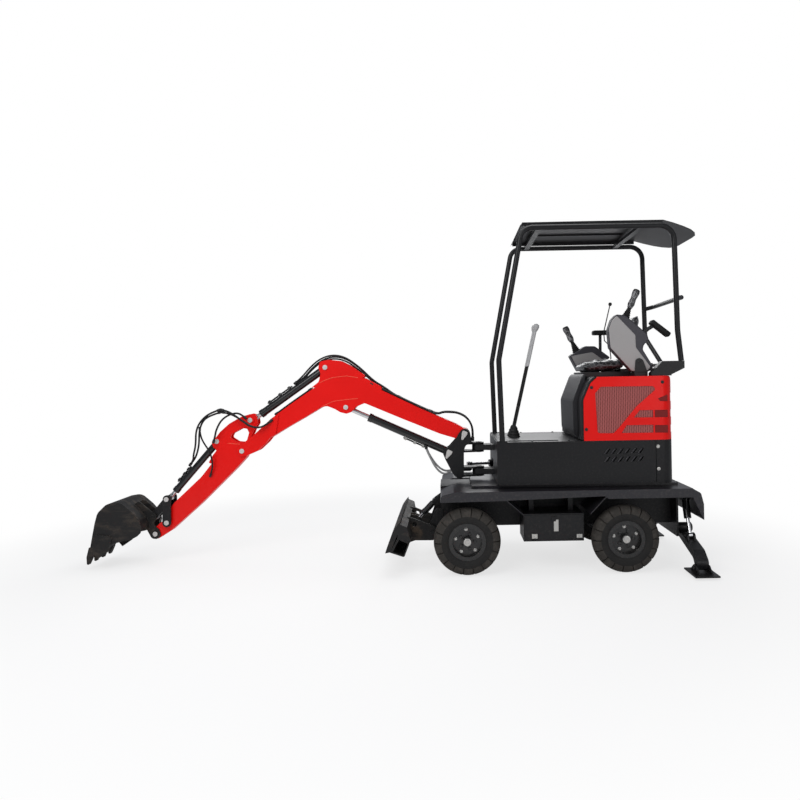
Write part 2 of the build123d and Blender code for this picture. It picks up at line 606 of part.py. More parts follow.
with BuildPart() as cowl:
    plate(cowl_outline, [1, 60, 60, 30, 30, 40, 1], -body_half_width, body_half_width)
    with BuildSketch(Plane.XY.offset(body_top)) as plan:
        with BuildLine():
            FilletPolyline(
                (cowl_front_x, -body_half_width), (body_rear_x, -body_half_width),
                (body_rear_x, body_half_width), (cowl_front_x, body_half_width),
                radius=[1, corner_radius, corner_radius, 1], close=True,
            )
        make_face()
    extrude(plan.sketch, amount=cowl_top - body_top, mode=Mode.INTERSECT)
    with BuildPart(mode=Mode.PRIVATE) as cowl_inside:
        plate(inner_outline, [1, 56, 56, 26, 26, 36, 1], -body_half_width + cowl_wall, body_half_width - cowl_wall)
        with BuildSketch(Plane.XY.offset(body_top - 1)) as plan:
            with BuildLine():
                reach = body_half_width - cowl_wall
                FilletPolyline(
                    (cowl_front_x - 1, -reach), (body_rear_x - cowl_wall, -reach),
                    (body_rear_x - cowl_wall, reach), (cowl_front_x - 1, reach),
                    radius=[1, corner_radius - cowl_wall, corner_radius - cowl_wall, 1], close=True,
                )
            make_face()
        extrude(plan.sketch, amount=cowl_top, mode=Mode.INTERSECT)
    add(cowl_inside.part, mode=Mode.SUBTRACT)
    grille_outline = [(313, 1439), (359, 1490), (783, 1488), (807, 1463), (649, 1327), (499, 1151), (458, 1111), (328, 1113)]
    for side in (-1, 1):
        low, high = sorted((side * (body_half_width - 10), side * (body_half_width + 1)))
        plate(grille_outline, [16, 16, 16, 16, 30, 30, 16, 20], low, high, mode=Mode.SUBTRACT)
        for outline in open_slots:
            plate(outline, [0] * len(outline), low, high, mode=Mode.SUBTRACT)
    with BuildPart(mode=Mode.PRIVATE) as rear_recesses:
        for side in (-1, 1):
            low, high = sorted((side * (body_half_width - corner_radius), side * (body_half_width + 1)))
            for outline in closed_slots:
                plate(outline, [0] * len(outline), low, high)
        with BuildSketch(Plane.XY.offset(body_top)) as plan:
            with BuildLine():
                reach = body_half_width - recess_depth
                rear = body_rear_x - recess_depth
                corner = corner_radius - recess_depth
                FilletPolyline((cowl_front_x, -reach), (rear, -reach), (rear, reach), (cowl_front_x, reach),
                               radius=[0, corner, corner, 0], close=True)
            make_face()
        extrude(plan.sketch, amount=cowl_top - body_top, mode=Mode.SUBTRACT)
    add(rear_recesses.part, mode=Mode.SUBTRACT)
pieces["cowl"] = cowl.part

with BuildPart() as cowl_grilles:
    for side in (-1, 1):
        low, high = sorted((side * (body_half_width - cowl_wall - 1.5), side * (body_half_width - cowl_wall - 0.2)))
        plate([(300, 1090), (300, 1440), (352, 1502), (800, 1502), (830, 1460), (830, 1090)],
              [0] * 6, low - 3 * (side > 0), high + 3 * (side < 0))
pieces["cowl_grilles"] = cowl_grilles.part

console_hinge = (700, 1690)
console_outer_y = 400
console_inner_y = 280
# Black moulded seat base in front of the cowl, with the seat's plinth on top
with BuildPart() as seat_base:
    plate([(131, body_top), (47, 1138), (35, 1396), (91, 1541), (173, 1600), (272, 1604), (272, 1520), (cowl_front_x - 4, 1386),
           (cowl_front_x - 4, body_top)], [30, 40, 120, 60, 30, 4, 4, 30, 1], -seat_base_half_width, seat_base_half_width)
    plate([(150, body_top - 1), (64, 1150), (52, 1396), (104, 1532), (180, 1586), (262, 1590), (262, 1524), (204, 1392),
           (204, body_top - 1)], [20, 30, 110, 50, 20, 2, 2, 24, 1], -seat_base_half_width + 5, seat_base_half_width - 5,
          mode=Mode.SUBTRACT)
    block(268, 700, -215, 215, cowl_top, 1648)
    block(272, 696, -211, 211, cowl_top - 1, 1642, mode=Mode.SUBTRACT)
    block(660, 800, 300, 400, cowl_top, 1640)
    block(660, 770, -console_outer_y - 8, -console_inner_y + 8, cowl_top, 1608)
    for low in (-console_outer_y - 8, -console_inner_y + 0.3):
        plate([(662, 1600), (670, 1706), (700, 1722), (732, 1706), (768, 1600)], [2, 20, 40, 20, 2], low, low + 7.7)
    bar(*console_hinge, 10, -console_outer_y - 8, -console_inner_y + 8)
pieces["seat_base"] = seat_base.part

with BuildPart() as engine_block:
    block(340, 700, -200, 200, body_bottom + 12, 1250)
pieces["engine_block"] = engine_block.part

# Seat: a cushion and a leaning back as simple soft shells
with BuildPart() as seat:
    plate([(251, 1648.3), (244, 1700), (300, 1726), (640, 1712), (690, 1690), (690, 1648.3)], [10, 24, 60, 20, 10, 4], -232, 232)
    plate([(632, 1690), (700, 1690), (890, 2090), (850, 2130), (800, 2110), (640, 1740)], [4, 10, 50, 20, 30, 20], -225, 225)
pieces["seat"] = seat.part

# Consoles: the right one is down, the left one is tilted up on its hinge
with BuildPart() as console_right:
    plate([(249, 1777), (315, 1831), (390, 1867), (510, 1846), (583, 1752), (722, 1722), (767, 1684), (760, 1640),
           (311, 1640)], [14, 30, 60, 40, 30, 30, 16, 10, 20], 290, 410)
    rod_between((314, 345, 1820), (250, 345, 1960), 22)
    rod_between((250, 345, 1960), (216, 345, 2050), 15)
    rod_between((520, 350, 1840), (548, 350, 1975), 9)
    block(484, 634, 315, 385, 1970, 2006)
pieces["console_right"] = console_right.part

with BuildPart() as console_left:
    plate([(490, 1926), (499, 2001), (543, 2076), (601, 2075), (733, 1955), (774, 1921), (789, 1871), (747, 1821),
           (738, 1788), (760, 1700), (690, 1648), (610, 1665), (496, 1801), (480, 1868)],
          [10, 30, 20, 20, 20, 20, 20, 20, 20, 20, 16, 20, 30, 20], -console_outer_y, -console_inner_y)
    bar(*console_hinge, 10 + pin_gap, -console_outer_y - 1, -console_inner_y + 1, mode=Mode.SUBTRACT)
    rod_between((634, -340, 2030), (700, -340, 2190), 22)
    rod_between((700, -340, 2190), (739, -340, 2306), 15)
    rod_between((760, -350, 1900), (870, -350, 1975), 9)
    plate([(816, 1962), (859, 2020), (909, 2011), (991, 1900), (957, 1893), (900, 1952)], [6, 14, 14, 10, 8, 10], -385, -315)
pieces["console_left"] = console_left.part

with BuildPart() as levers:
    rod_between((-340, 0, body_top + 8.2), (-335, 0, body_top + 110), 40)
    rod_between((-335, 0, body_top + 100), (-133, 0, 2010), 8)
    rod_between((-135, 0, 2000), (-124, 0, 2046), 18)
pieces["levers"] = levers.part

# Canopy: two bent side loops, flat cross bars, a guard behind the seat, and feet on the cowl
far_foot = (1033, 110, 1690)
with BuildPart() as canopy:
    front_half = [(-445, body_top + 4), (-462, 1722), (-254, roof_top - tube_radius), (982, roof_top - tube_radius), (998, 1941)]
    for side, ending in ((-1, front_half[4:] + [(1024, 1690)]), (1, [(998, 1930)])):
        bent_tube(front_half[:4] + ending, [120, 105, 120, 200], side * post_y, tube_radius)
        low, high = sorted((side * (post_y - 50), side * (post_y + 20)))
        block(-485, -405, low, high, body_top + 0.3, body_top + 10)
        plate([(867, 1690), (1046, 1690), (1046, 1631), (939, 1580), (939, cowl_top + 0.3), (775, cowl_top + 0.3), (775, 1594)],
              [0] * 7, *sorted((side * (post_y - 70), side * (post_y + 15))))
        rod_between((998, side * (post_y - 8), 2200), (1062, side * 380, 2215), 19)
    rod_between((998, post_y, 1934), far_foot, tube_radius - 2)
    for bar_x in (-118, 720):
        block(bar_x - 23, bar_x + 23, -post_y + 10, post_y - 10, roof_panel_bottom - 26, roof_panel_bottom - 0.3)
    bar(1062, 2215, 19, -392, 392)
    block(870, 1040, -post_y, post_y, 1650, 1672)
pieces["canopy"] = canopy.part

# Roof: a folded sheet between the loops, bent down in front and behind, with a rib along its middle
with BuildPart() as roof:
    edge = post_y - tube_radius - 0.3
    sheet = 5
    plate([(-322, 2698), (-258, roof_panel_bottom + sheet), (940, roof_panel_bottom + sheet), (1146, 2752), (1144, 2747),
           (939, roof_panel_bottom), (-255, roof_panel_bottom), (-318, 2696)], [0] * 8, -edge, edge)
    block(-94, 696, -85, -15, roof_panel_bottom - 16, roof_panel_bottom)
pieces["roof"] = roof.part

# Swing post: two side plates on a web, clevises round the frame's lugs, and the pins of the boom and its cylinder
post_outline = [(-765, 1134), (-722, 1140), (-696, 1108), (-680, 1012), (-732, 996), (-751, 954), (-755, 736), (-772, 710),
                (-816, 711), (-850, 746), (-912, 869), (-934, 922), (-925, 960), (-881, 982), (-827, 1042), (-792, 1103)]
post_radii = [30, 30, 20, 6, 20, 30, 20, 10, 20, 30, 30, 30, 20, 30, 40, 20]
clevis_gap = 2
with BuildPart() as swing_post:
    for side in (-1, 1):
        plate(post_outline, post_radii, *sorted((side * post_inner_y, side * (post_inner_y + post_plate))))
    block(-775, -757, -post_inner_y - 2, post_inner_y + 2, 716, 985)
    for lug_z in (upper_lug_z, lower_lug_z):
        for face in (-1, 1):
            low, high = sorted((lug_z + face * (lug_thick / 2 + clevis_gap), lug_z + face * (lug_thick / 2 + clevis_gap + 16)))
            with BuildSketch(Plane.XY.offset(low)) as ear:
                with Locations((swing_axis_x, 0)):
                    Circle(46)
                with Locations((-755, 0)):
                    Rectangle(20, 2 * post_inner_y + 20)
                make_hull()
            extrude(ear.sketch, amount=high - low)
        with Locations((swing_axis_x, 0, lug_z)):
            Cylinder(25, lug_thick + 2 * clevis_gap + 40)
    bar(*boom_foot, 22, -post_inner_y - post_plate - 8, post_inner_y + post_plate + 8)
    bar(*boom_cylinder_base, 20, -post_inner_y - post_plate - 8, post_inner_y + post_plate + 8)
    for side in (-1, 1):
        low, high = sorted((side * 40, side * post_inner_y))
        bar(*boom_cylinder_base, 34, low, high)
    block(-790, -690, post_inner_y + 10, 150, lower_lug_z - 12, lower_lug_z + 12)
    with Locations((*swing_pin, lower_lug_z)):
        Cylinder(24, 24)
    with Locations((*swing_pin, lower_lug_z + 19)):
        Cylinder(12, 14)
pieces["swing_post"] = swing_post.part

# Swing cylinder on the far side, from the body's front to the post's arm
with BuildPart() as swing_barrel:
    way = (swing_pin[0] - swing_base[0], swing_pin[1] - swing_base[1])
    reach = hypot(*way)
    point = [swing_base[0] + way[0] * 24 / reach, swing_base[1] + way[1] * 24 / reach]
    gland = [swing_base[0] + way[0] * swing_tube_length / reach, swing_base[1] + way[1] * swing_tube_length / reach]
    deep = [swing_base[0] + way[0] * 60 / reach, swing_base[1] + way[1] * 60 / reach]
    mouth = [swing_base[0] + way[0] * (swing_tube_length + 1) / reach, swing_base[1] + way[1] * (swing_tube_length + 1) / reach]
    swing_z = lower_lug_z + 44
    rod_between((point[0], point[1], swing_z), (gland[0], gland[1], swing_z), 32)
    with Locations((swing_base[0], swing_base[1], swing_z)):
        Cylinder(28, 40)
        Cylinder(15 + pin_gap, 42, mode=Mode.SUBTRACT)
    rod_between((deep[0], deep[1], swing_z), (mouth[0], mouth[1], swing_z), 14 + pin_gap, mode=Mode.SUBTRACT)
pieces["swing_barrel"] = swing_barrel.part
with BuildPart() as swing_rod:
    inner = [swing_base[0] + way[0] * 175 / reach, swing_base[1] + way[1] * 175 / reach]
    neck = [swing_base[0] + way[0] * (reach - 20) / reach, swing_base[1] + way[1] * (reach - 20) / reach]
    rod_between((inner[0], inner[1], swing_z), (neck[0], neck[1], swing_z), 14)
    with Locations((swing_pin[0], swing_pin[1], swing_z)):
        Cylinder(26, 32)
        Cylinder(12, 34, mode=Mode.SUBTRACT)
pieces["swing_rod"] = swing_rod.part

# Boom: a bent welded box with its foot hub, peak ears, the lower lug and the fork at its head
boom_top_line = [(-745, 1140), (-825, 1186), (-1127, 1322), (-1473, 1493), (-1640, 1586), (-1714, 1618), (-1819, 1620),
                 (-1950, 1585), (-2258, 1380), (-2440, 1250), (-2475, 1200)]
boom_bottom_line = [(-2425, 1096), (-2304, 1168), (-2133, 1263), (-1954, 1367), (-1823, 1411), (-1718, 1409), (-1597, 1370),
                    (-1303, 1242), (-957, 1097), (-775, 1040)]
boom_outline = boom_top_line + boom_bottom_line
boom_radii = [30, 200, 300, 300, 80, 60, 60, 80, 300, 30, 20, 10, 300, 300, 120, 60, 60, 120, 300, 200, 30]
with BuildPart() as boom:
    plate(boom_outline, boom_radii, -boom_half_width, boom_half_width)
    with BuildSketch(Plane.XZ.offset(-boom_half_width + box_wall)) as inside:
        with BuildLine():
            FilletPolyline(*boom_outline, radius=fitting(boom_outline, boom_radii), close=True)
        make_face()
        offset(amount=-box_wall, mode=Mode.REPLACE)
    extrude(inside.sketch, amount=2 * (boom_half_width - box_wall), mode=Mode.SUBTRACT)
    bar(*boom_foot, 46, -boom_half_width - 5, boom_half_width + 5)
    bar(*boom_foot, 22 + pin_gap, -boom_half_width - 6, boom_half_width + 6, mode=Mode.SUBTRACT)
    for side in (-1, 1):
        low, high = sorted((side * 38, side * boom_half_width))
        plate([(-1640, 1590), (-1592, 1613), (-1730, 1706), (-1816, 1750), (-1921, 1762), (-1995, 1748), (-2012, 1695),
               (-1993, 1640), (-2010, 1570), (-2075, 1520)], [4, 20, 60, 60, 40, 30, 30, 30, 40, 4], low, high)
        plate([(-2020, 1345), (-1937, 1356), (-1876, 1331), (-1825, 1300), (-1770, 1286), (-1729, 1302), (-1684, 1349),
               (-1610, 1378), (-1700, 1430), (-1900, 1420)], [4, 60, 40, 30, 30, 30, 40, 4, 4, 4], low, high)
    for pin_at, radius in ((arm_cylinder_base, 20), (boom_cylinder_tip, 20)):
        for side in (-1, 1):
            bar(*pin_at, radius, *sorted((side * 28, side * (boom_half_width + 8))))
    bar(*arm_cylinder_base, 20, -30, 30)
    head_plate = 22
    for side in (-1, 1):
        low, high = sorted((side * (arm_half_width + side_gap), side * (arm_half_width + side_gap + head_plate)))
        plate([(-2360, 1300), (-2390, 1120), (-2440, 1088), (-2470, 1050), (-2547, 980), (-2646, 938), (-2700, 930), (-2736, 978),
               (-2700, 1030), (-2580, 1118), (-2440, 1246)], [4, 4, 10, 30, 60, 60, 30, 40, 40, 200, 60], low, high)
    bar(*arm_pivot, 22, -arm_half_width - side_gap - head_plate - 8, arm_half_width + side_gap + head_plate + 8)
pieces["boom"] = boom.part

# Arm: a tapering box with the ears of its cylinder, the lug of the bucket cylinder and a lightening hole
arm_outline = [(-2944, 1010), (-2893, 956), (-3054, 756), (-3300, 530), (-3395, 380), (-3500, 290), (-3490, 232), (-3440, 222),
               (-3323, 294), (-3058, 525), (-2748, 824), (-2660, 918), (-2632, 978), (-2652, 1040)]
arm_radii = [40, 30, 300, 100, 60, 40, 30, 30, 60, 300, 200, 60, 40, 30]
with BuildPart() as arm:
    plate(arm_outline, arm_radii, -arm_half_width, arm_half_width)
    with BuildSketch(Plane.XZ.offset(-arm_half_width + box_wall)) as inside:
        with BuildLine():
            FilletPolyline(*arm_outline, radius=fitting(arm_outline, arm_radii), close=True)
        make_face()
        offset(amount=-box_wall, mode=Mode.REPLACE)
    extrude(inside.sketch, amount=2 * (arm_half_width - box_wall), mode=Mode.SUBTRACT)
    for side in (-1, 1):
        low, high = sorted((side * 34, side * arm_half_width))
        plate([(-2944, 1010), (-2935, 1080), (-2881, 1149), (-2802, 1217), (-2696, 1276), (-2608, 1301), (-2557, 1285), (-2549, 1213),
               (-2585, 1161), (-2594, 1135), (-2639, 1057), (-2652, 1040), (-2760, 1000)],
              [30, 30, 60, 60, 60, 40, 30, 30, 40, 30, 30, 20, 20], low, high)
        plate([(-2795, 1095), (-2777, 1130), (-2689, 1176), (-2646, 1171), (-2629, 1136), (-2647, 1075), (-2665, 1050),
               (-2735, 1056)], [16, 16, 16, 14, 14, 16, 8, 30], low - 1, high + 1, mode=Mode.SUBTRACT)
        plate([(-2944, 1010), (-2960, 1060), (-2925, 1104), (-2870, 1090), (-2800, 1030), (-2850, 960)],
              [16, 26, 26, 30, 10, 10], *sorted((side * 34, side * arm_half_width)))
        bar(*arm_cylinder_tip, 20, *sorted((side * 27, side * (arm_half_width + 8))))
        bar(*bucket_cylinder_base, 20, *sorted((side * 33, side * (arm_half_width + 8))))
    bar(*bucket_cylinder_base, 20, -34, 34)
    bar(*arm_pivot, 44, -arm_half_width, arm_half_width)
    bar(*arm_pivot, 22 + pin_gap, -arm_half_width - 1, arm_half_width + 1, mode=Mode.SUBTRACT)
    bar(*bucket_pin, 40, -arm_half_width, arm_half_width)
    bar(*bucket_pin, 20 + pin_gap, -arm_half_width - 1, arm_half_width + 1, mode=Mode.SUBTRACT)
    bar(*rocker_pivot, 20, -arm_half_width - 36, arm_half_width + 36)
    for side in (-1, 1):
        bar(*rocker_pivot, 30, *sorted((side * arm_half_width, side * (arm_half_width + 18))))
pieces["arm"] = arm.part

# Rocker plates outside the arm, and the push link between the bucket's ears
rocker_y, rocker_plate = 64, 12
with BuildPart() as rocker:
    for side in (-1, 1):
        low, high = sorted((side * rocker_y, side * (rocker_y + rocker_plate)))
        capsule(rocker_pivot, rocker_tip, 38, 34, low, high)
        bar(*rocker_pivot, 20 + pin_gap, low - 1, high + 1, mode=Mode.SUBTRACT)
        bar(*rocker_tip, 18, *sorted((side * 24, side * (rocker_y + rocker_plate + 8))))
pieces["rocker"] = rocker.part
with BuildPart() as link:
    for side in (-1, 1):
        low, high = sorted((side * 26, side * 44))
        capsule(rocker_tip, bucket_link_pin, 30, 32, low, high)
        bar(*rocker_tip, 18 + pin_gap, low - 1, high + 1, mode=Mode.SUBTRACT)
    bar(*bucket_link_pin, 32, -44, 44)
    bar(*bucket_link_pin, 25, -45, 45, mode=Mode.SUBTRACT)
pieces["link"] = link.part

# Bucket: a curved shell between side plates, the ears, a cutting edge with teeth, and bolted side cutters
shell_outline = [(-3512, 352), (-3530, 420), (-3590, 490), (-3692, 578), (-3804, 562), (-3884, 486), (-3908, 400), (-3936, 262),
                 (-3952, 170)]
mouth_line = [(-3910, 160), (-3752, 224), (-3663, 243), (-3600, 256), (-3552, 280), (-3520, 310)]
bucket_radii = [20, 30, 200, 90, 90, 90, 200, 100, 2, 2, 60, 60, 60, 40, 20]
bucket_wall = 10
with BuildPart() as bucket:
    plate(shell_outline + mouth_line, bucket_radii, -bucket_half_width, bucket_half_width)
    hollow = [(-3524, 360), (-3540, 416), (-3596, 481), (-3692, 566), (-3800, 552), (-3872, 482), (-3897, 398), (-3926, 258),
              (-3941, 172), (-3910, 120), (-3700, 100), (-3500, 230)]
    plate(hollow, [6, 22, 200, 82, 80, 80, 190, 90, 2, 2, 20, 2], -bucket_half_width + bucket_wall, bucket_half_width - bucket_wall,
          mode=Mode.SUBTRACT)
    plate([(-3936, 262), (-3962, 120), (-3948, 112), (-3910, 160), (-3922, 258)], [2, 2, 2, 2, 2], -bucket_half_width, bucket_half_width)
    for side in (-1, 1):
        low, high = sorted((side * 47, side * 60))
        plate([(-3640, 530), (-3600, 556), (-3490, 462), (-3446, 432), (-3450, 392), (-3480, 350), (-3425, 300), (-3412, 255), (-3440, 222),
               (-3490, 225), (-3530, 300), (-3560, 440)], [4, 30, 40, 26, 26, 30, 30, 30, 30, 40, 60, 30], low, high)
        bar(*bucket_link_pin, 18, *sorted((side * 45.5, side * 68)))
    bar(*bucket_link_pin, 14, -46, 46)
    bar(*bucket_pin, 20, -68, 68)
    for tooth in range(4):
        y = -bucket_half_width + 30 + tooth * (2 * bucket_half_width - 60) / 3
        plate([(-3966, 190), (-3986, 110), (-3984, 50), (-3970, 46), (-3940, 110), (-3934, 190)], [4, 30, 3, 3, 20, 4], y - 22, y + 22)
    for side in (-1, 1):
        low, high = sorted((side * bucket_half_width, side * (bucket_half_width + 12)))
        plate([(-3900, 305), (-3780, 290), (-3762, 270), (-3790, 160), (-3880, 100), (-3920, 148), (-3918, 230)],
              [16, 10, 10, 16, 10, 20, 10], low, high)
pieces["bucket"] = bucket.part

# Cylinders of the boom, the arm and the bucket
cylinders = (
    ("boom", boom_cylinder_base, boom_cylinder_tip, 35, 770, 21, 26, 38, 20, 26, 160),
    ("arm", arm_cylinder_base, arm_cylinder_tip, 33, 705, 20, 30, 36, 20, 24, 110),
    ("bucket", bucket_cylinder_base, rocker_tip, 29, 579, 17, 28, 32, 20, 22, 95),
)
rod_eye_bore = 15
for name, base, tip, tube_r, tube_length, rod_r, eye_r, eye_half, pin_r, rod_eye_half, inner_end in cylinders:
    with BuildPart() as tube:
        barrel(base, tip, 0, tube_r, tube_length, rod_r, 34, eye_half, pin_r)
    pieces[f"{name}_barrel"] = tube.part
    with BuildPart() as chrome:
        piston_rod(base, tip, 0, inner_end, rod_r, eye_r, rod_eye_half, rod_eye_bore)
    pieces[f"{name}_rod"] = chrome.part

# The origin goes under the middle of the overall box, and every piece is written out
front = min(piece.bounding_box().min.X for piece in pieces.values())
rear = max(piece.bounding_box().max.X for piece in pieces.values())
middle = (front + rear) / 2
print("slew axis at x =", round(-middle, 3), "length", round(rear - front, 1), "pieces", len(pieces))
for label, piece in pieces.items():
    placed = piece.moved(Location((-middle, 0, 0)))
    placed.label = label
    export_step(placed, f"parts/{label}.step")
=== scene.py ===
"""Looks of a compact wheeled excavator: red boom and cowl, black chassis, open canopy."""

import json
import logging
from dataclasses import dataclass
from enum import Enum
from math import cos, pi, radians, sin, tau
from typing import Iterable, Sequence, Union

import bmesh
import bpy
from mathutils import Matrix, Vector, noise


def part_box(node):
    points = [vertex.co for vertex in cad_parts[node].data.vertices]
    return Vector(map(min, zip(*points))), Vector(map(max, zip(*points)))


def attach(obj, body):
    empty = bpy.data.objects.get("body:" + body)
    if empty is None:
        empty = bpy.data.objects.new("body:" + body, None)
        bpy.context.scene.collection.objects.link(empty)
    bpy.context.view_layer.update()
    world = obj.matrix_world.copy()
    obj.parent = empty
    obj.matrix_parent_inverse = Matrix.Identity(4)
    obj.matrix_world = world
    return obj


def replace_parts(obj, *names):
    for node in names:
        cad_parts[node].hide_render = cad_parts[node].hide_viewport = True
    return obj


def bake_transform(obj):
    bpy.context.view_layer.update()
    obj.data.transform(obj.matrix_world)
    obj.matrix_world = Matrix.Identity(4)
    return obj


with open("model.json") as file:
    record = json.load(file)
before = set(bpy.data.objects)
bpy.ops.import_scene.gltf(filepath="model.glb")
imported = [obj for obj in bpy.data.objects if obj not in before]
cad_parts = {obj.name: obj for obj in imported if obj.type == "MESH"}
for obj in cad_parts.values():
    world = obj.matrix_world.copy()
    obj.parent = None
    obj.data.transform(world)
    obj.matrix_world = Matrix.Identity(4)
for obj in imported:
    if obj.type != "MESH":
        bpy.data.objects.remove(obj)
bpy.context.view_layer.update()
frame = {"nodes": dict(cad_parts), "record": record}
log = logging.getLogger("excavator")

Colour = tuple[float, float, float]
Point = tuple[float, float, float]
Flat = Sequence[tuple[float, float]]

JOINT_POS = {joint["name"]: joint.get("pos_m") for joint in frame["record"]["behaviour"]["joints"]}
SLEW_X = JOINT_POS["slew"][0]
BESIDE = 1.5  # metres from the middle plane, outside the machine
ABOVE = 3.0  # metres from the ground, over the machine
UP = Vector((0, 0, 1))

RED: Colour = (0.86, 0.004, 0.002)
BLACK: Colour = (0.0075, 0.0075, 0.0085)
BARE: Colour = (0.2, 0.19, 0.18)
DRY_DUST: Colour = (0.16, 0.14, 0.12)


def at(x: float, y: float, z: float) -> Vector:
    """A point given in metres from the slew axis, in the row's frame."""
    return Vector((x + SLEW_X, y, z))


def joint_place(joint: str) -> tuple[float, float]:
    """A joint's x, from the slew axis, and its z."""
    place = JOINT_POS[joint]
    return place[0] - SLEW_X, place[2]


def scaled(colour: Colour, factor: float) -> Colour:
    """A colour made darker or lighter."""
    return tuple(min(1.0, factor * part) for part in colour)


class Side(Enum):
    """The two sides of the machine, as the sign of y."""

    NEAR = -1
    FAR = 1

    @property
    def outward(self) -> Vector:
        """The way out of the machine on this side."""
        return Vector((0, self.value, 0))

    def span(self, first: float, second: float) -> tuple[float, float]:
        """The lower and the higher y of two distances from the middle plane."""
        low, high = sorted((self.value * first, self.value * second))
        return low, high


HANDS = ((Side.NEAR, "left"), (Side.FAR, "right"))


def rounded(outline: Flat, radius: float, steps: int = 4) -> list[tuple[float, float]]:
    """An outline with its corners rounded.

    Args:
        outline: The corners in x and z.
        radius: How far a rounding reaches along each side, where the sides are long enough.
        steps: The pieces that each rounding is made of.

    Returns:
        The rounded outline.
    """
    result = []
    for number, corner in enumerate(outline):
        here = Vector(corner)
        before = Vector(outline[number - 1]) - here
        after = Vector(outline[(number + 1) % len(outline)]) - here
        reach = min(radius, 0.45 * before.length, 0.45 * after.length)
        start, end = here + before.normalized() * reach, here + after.normalized() * reach
        for step in range(steps + 1):
            share = step / steps
            point = start * (1 - share) ** 2 + here * 2 * share * (1 - share) + end * share**2
            result.append((point.x, point.y))
    return result


def touch(node: str, start: Vector, heading: Vector) -> Vector | None:
    """The first point where a ray meets a CAD node, or None where it misses."""
    met, point, _, _ = frame["nodes"][node].ray_cast(start, heading)
    return point if met else None


def outermost(x: float, z: float, side: Side, reach: float) -> Vector:
    """The outermost point that any node has near a place given from the slew axis.

    Args:
        x: The place's x in metres.
        z: The place's z in metres.
        side: The side of the machine that it is seen from.
        reach: How far round the place is looked.

    Returns:
        The place, at the y of that point.
    """
    found = 0.0
    spots = [(reach * cos(tau * step / 8), reach * sin(tau * step / 8)) for step in range(8)]
    for aside, up in (*spots, (0.0, 0.0)):
        start = at(x + aside, side.value * BESIDE, z + up)
        for node, piece in frame["nodes"].items():
            if piece.hide_viewport:
                continue
            point = touch(node, start, -side.outward)
            if point is not None and abs(point.y) > found and point.y * side.value > 0:
                found = abs(point.y)
    return at(x, side.value * found, z)


def beside(node: str, x: float, z: float, side: Side) -> Vector | None:
    """The point of a node's outer side at a place from the slew axis, or None where the node isn't."""
    return touch(node, at(x, side.value * BESIDE, z), -side.outward)


class Channel:
    """A shader value. Python operators on it add Math nodes to its tree."""

    def __init__(self, shader: "Shader", socket: bpy.types.NodeSocket) -> None:
        """Wraps an output socket of a tree."""
        self.shader = shader
        self.socket = socket

    def math(self, operation: str, *values: "Number") -> "Channel":
        """The result of a Math node with these values at its sockets."""
        return self.shader.node("ShaderNodeMath", {"operation": operation}, dict(enumerate(values)))

    def __add__(self, other: "Number") -> "Channel":
        """Sum."""
        return self.math("ADD", self, other)

    def __radd__(self, other: "Number") -> "Channel":
        """Sum with a number on the left."""
        return self.math("ADD", other, self)

    def __sub__(self, other: "Number") -> "Channel":
        """Difference."""
        return self.math("SUBTRACT", self, other)

    def __rsub__(self, other: "Number") -> "Channel":
        """Difference with a number on the left."""
        return self.math("SUBTRACT", other, self)

    def __mul__(self, other: "Number") -> "Channel":
        """Product."""
        return self.math("MULTIPLY", self, other)

    def __pow__(self, other: "Number") -> "Channel":
        """Power."""
        return self.math("POWER", self, other)

    def over(self, low: float, high: float) -> "Channel":
        """A smooth step that is 0 below the first value and 1 above the second."""
        limits = {"Value": self, "From Min": low, "From Max": high}
        return self.shader.node("ShaderNodeMapRange", {"interpolation_type": "SMOOTHSTEP"}, limits)


Number = Union[float, Channel]


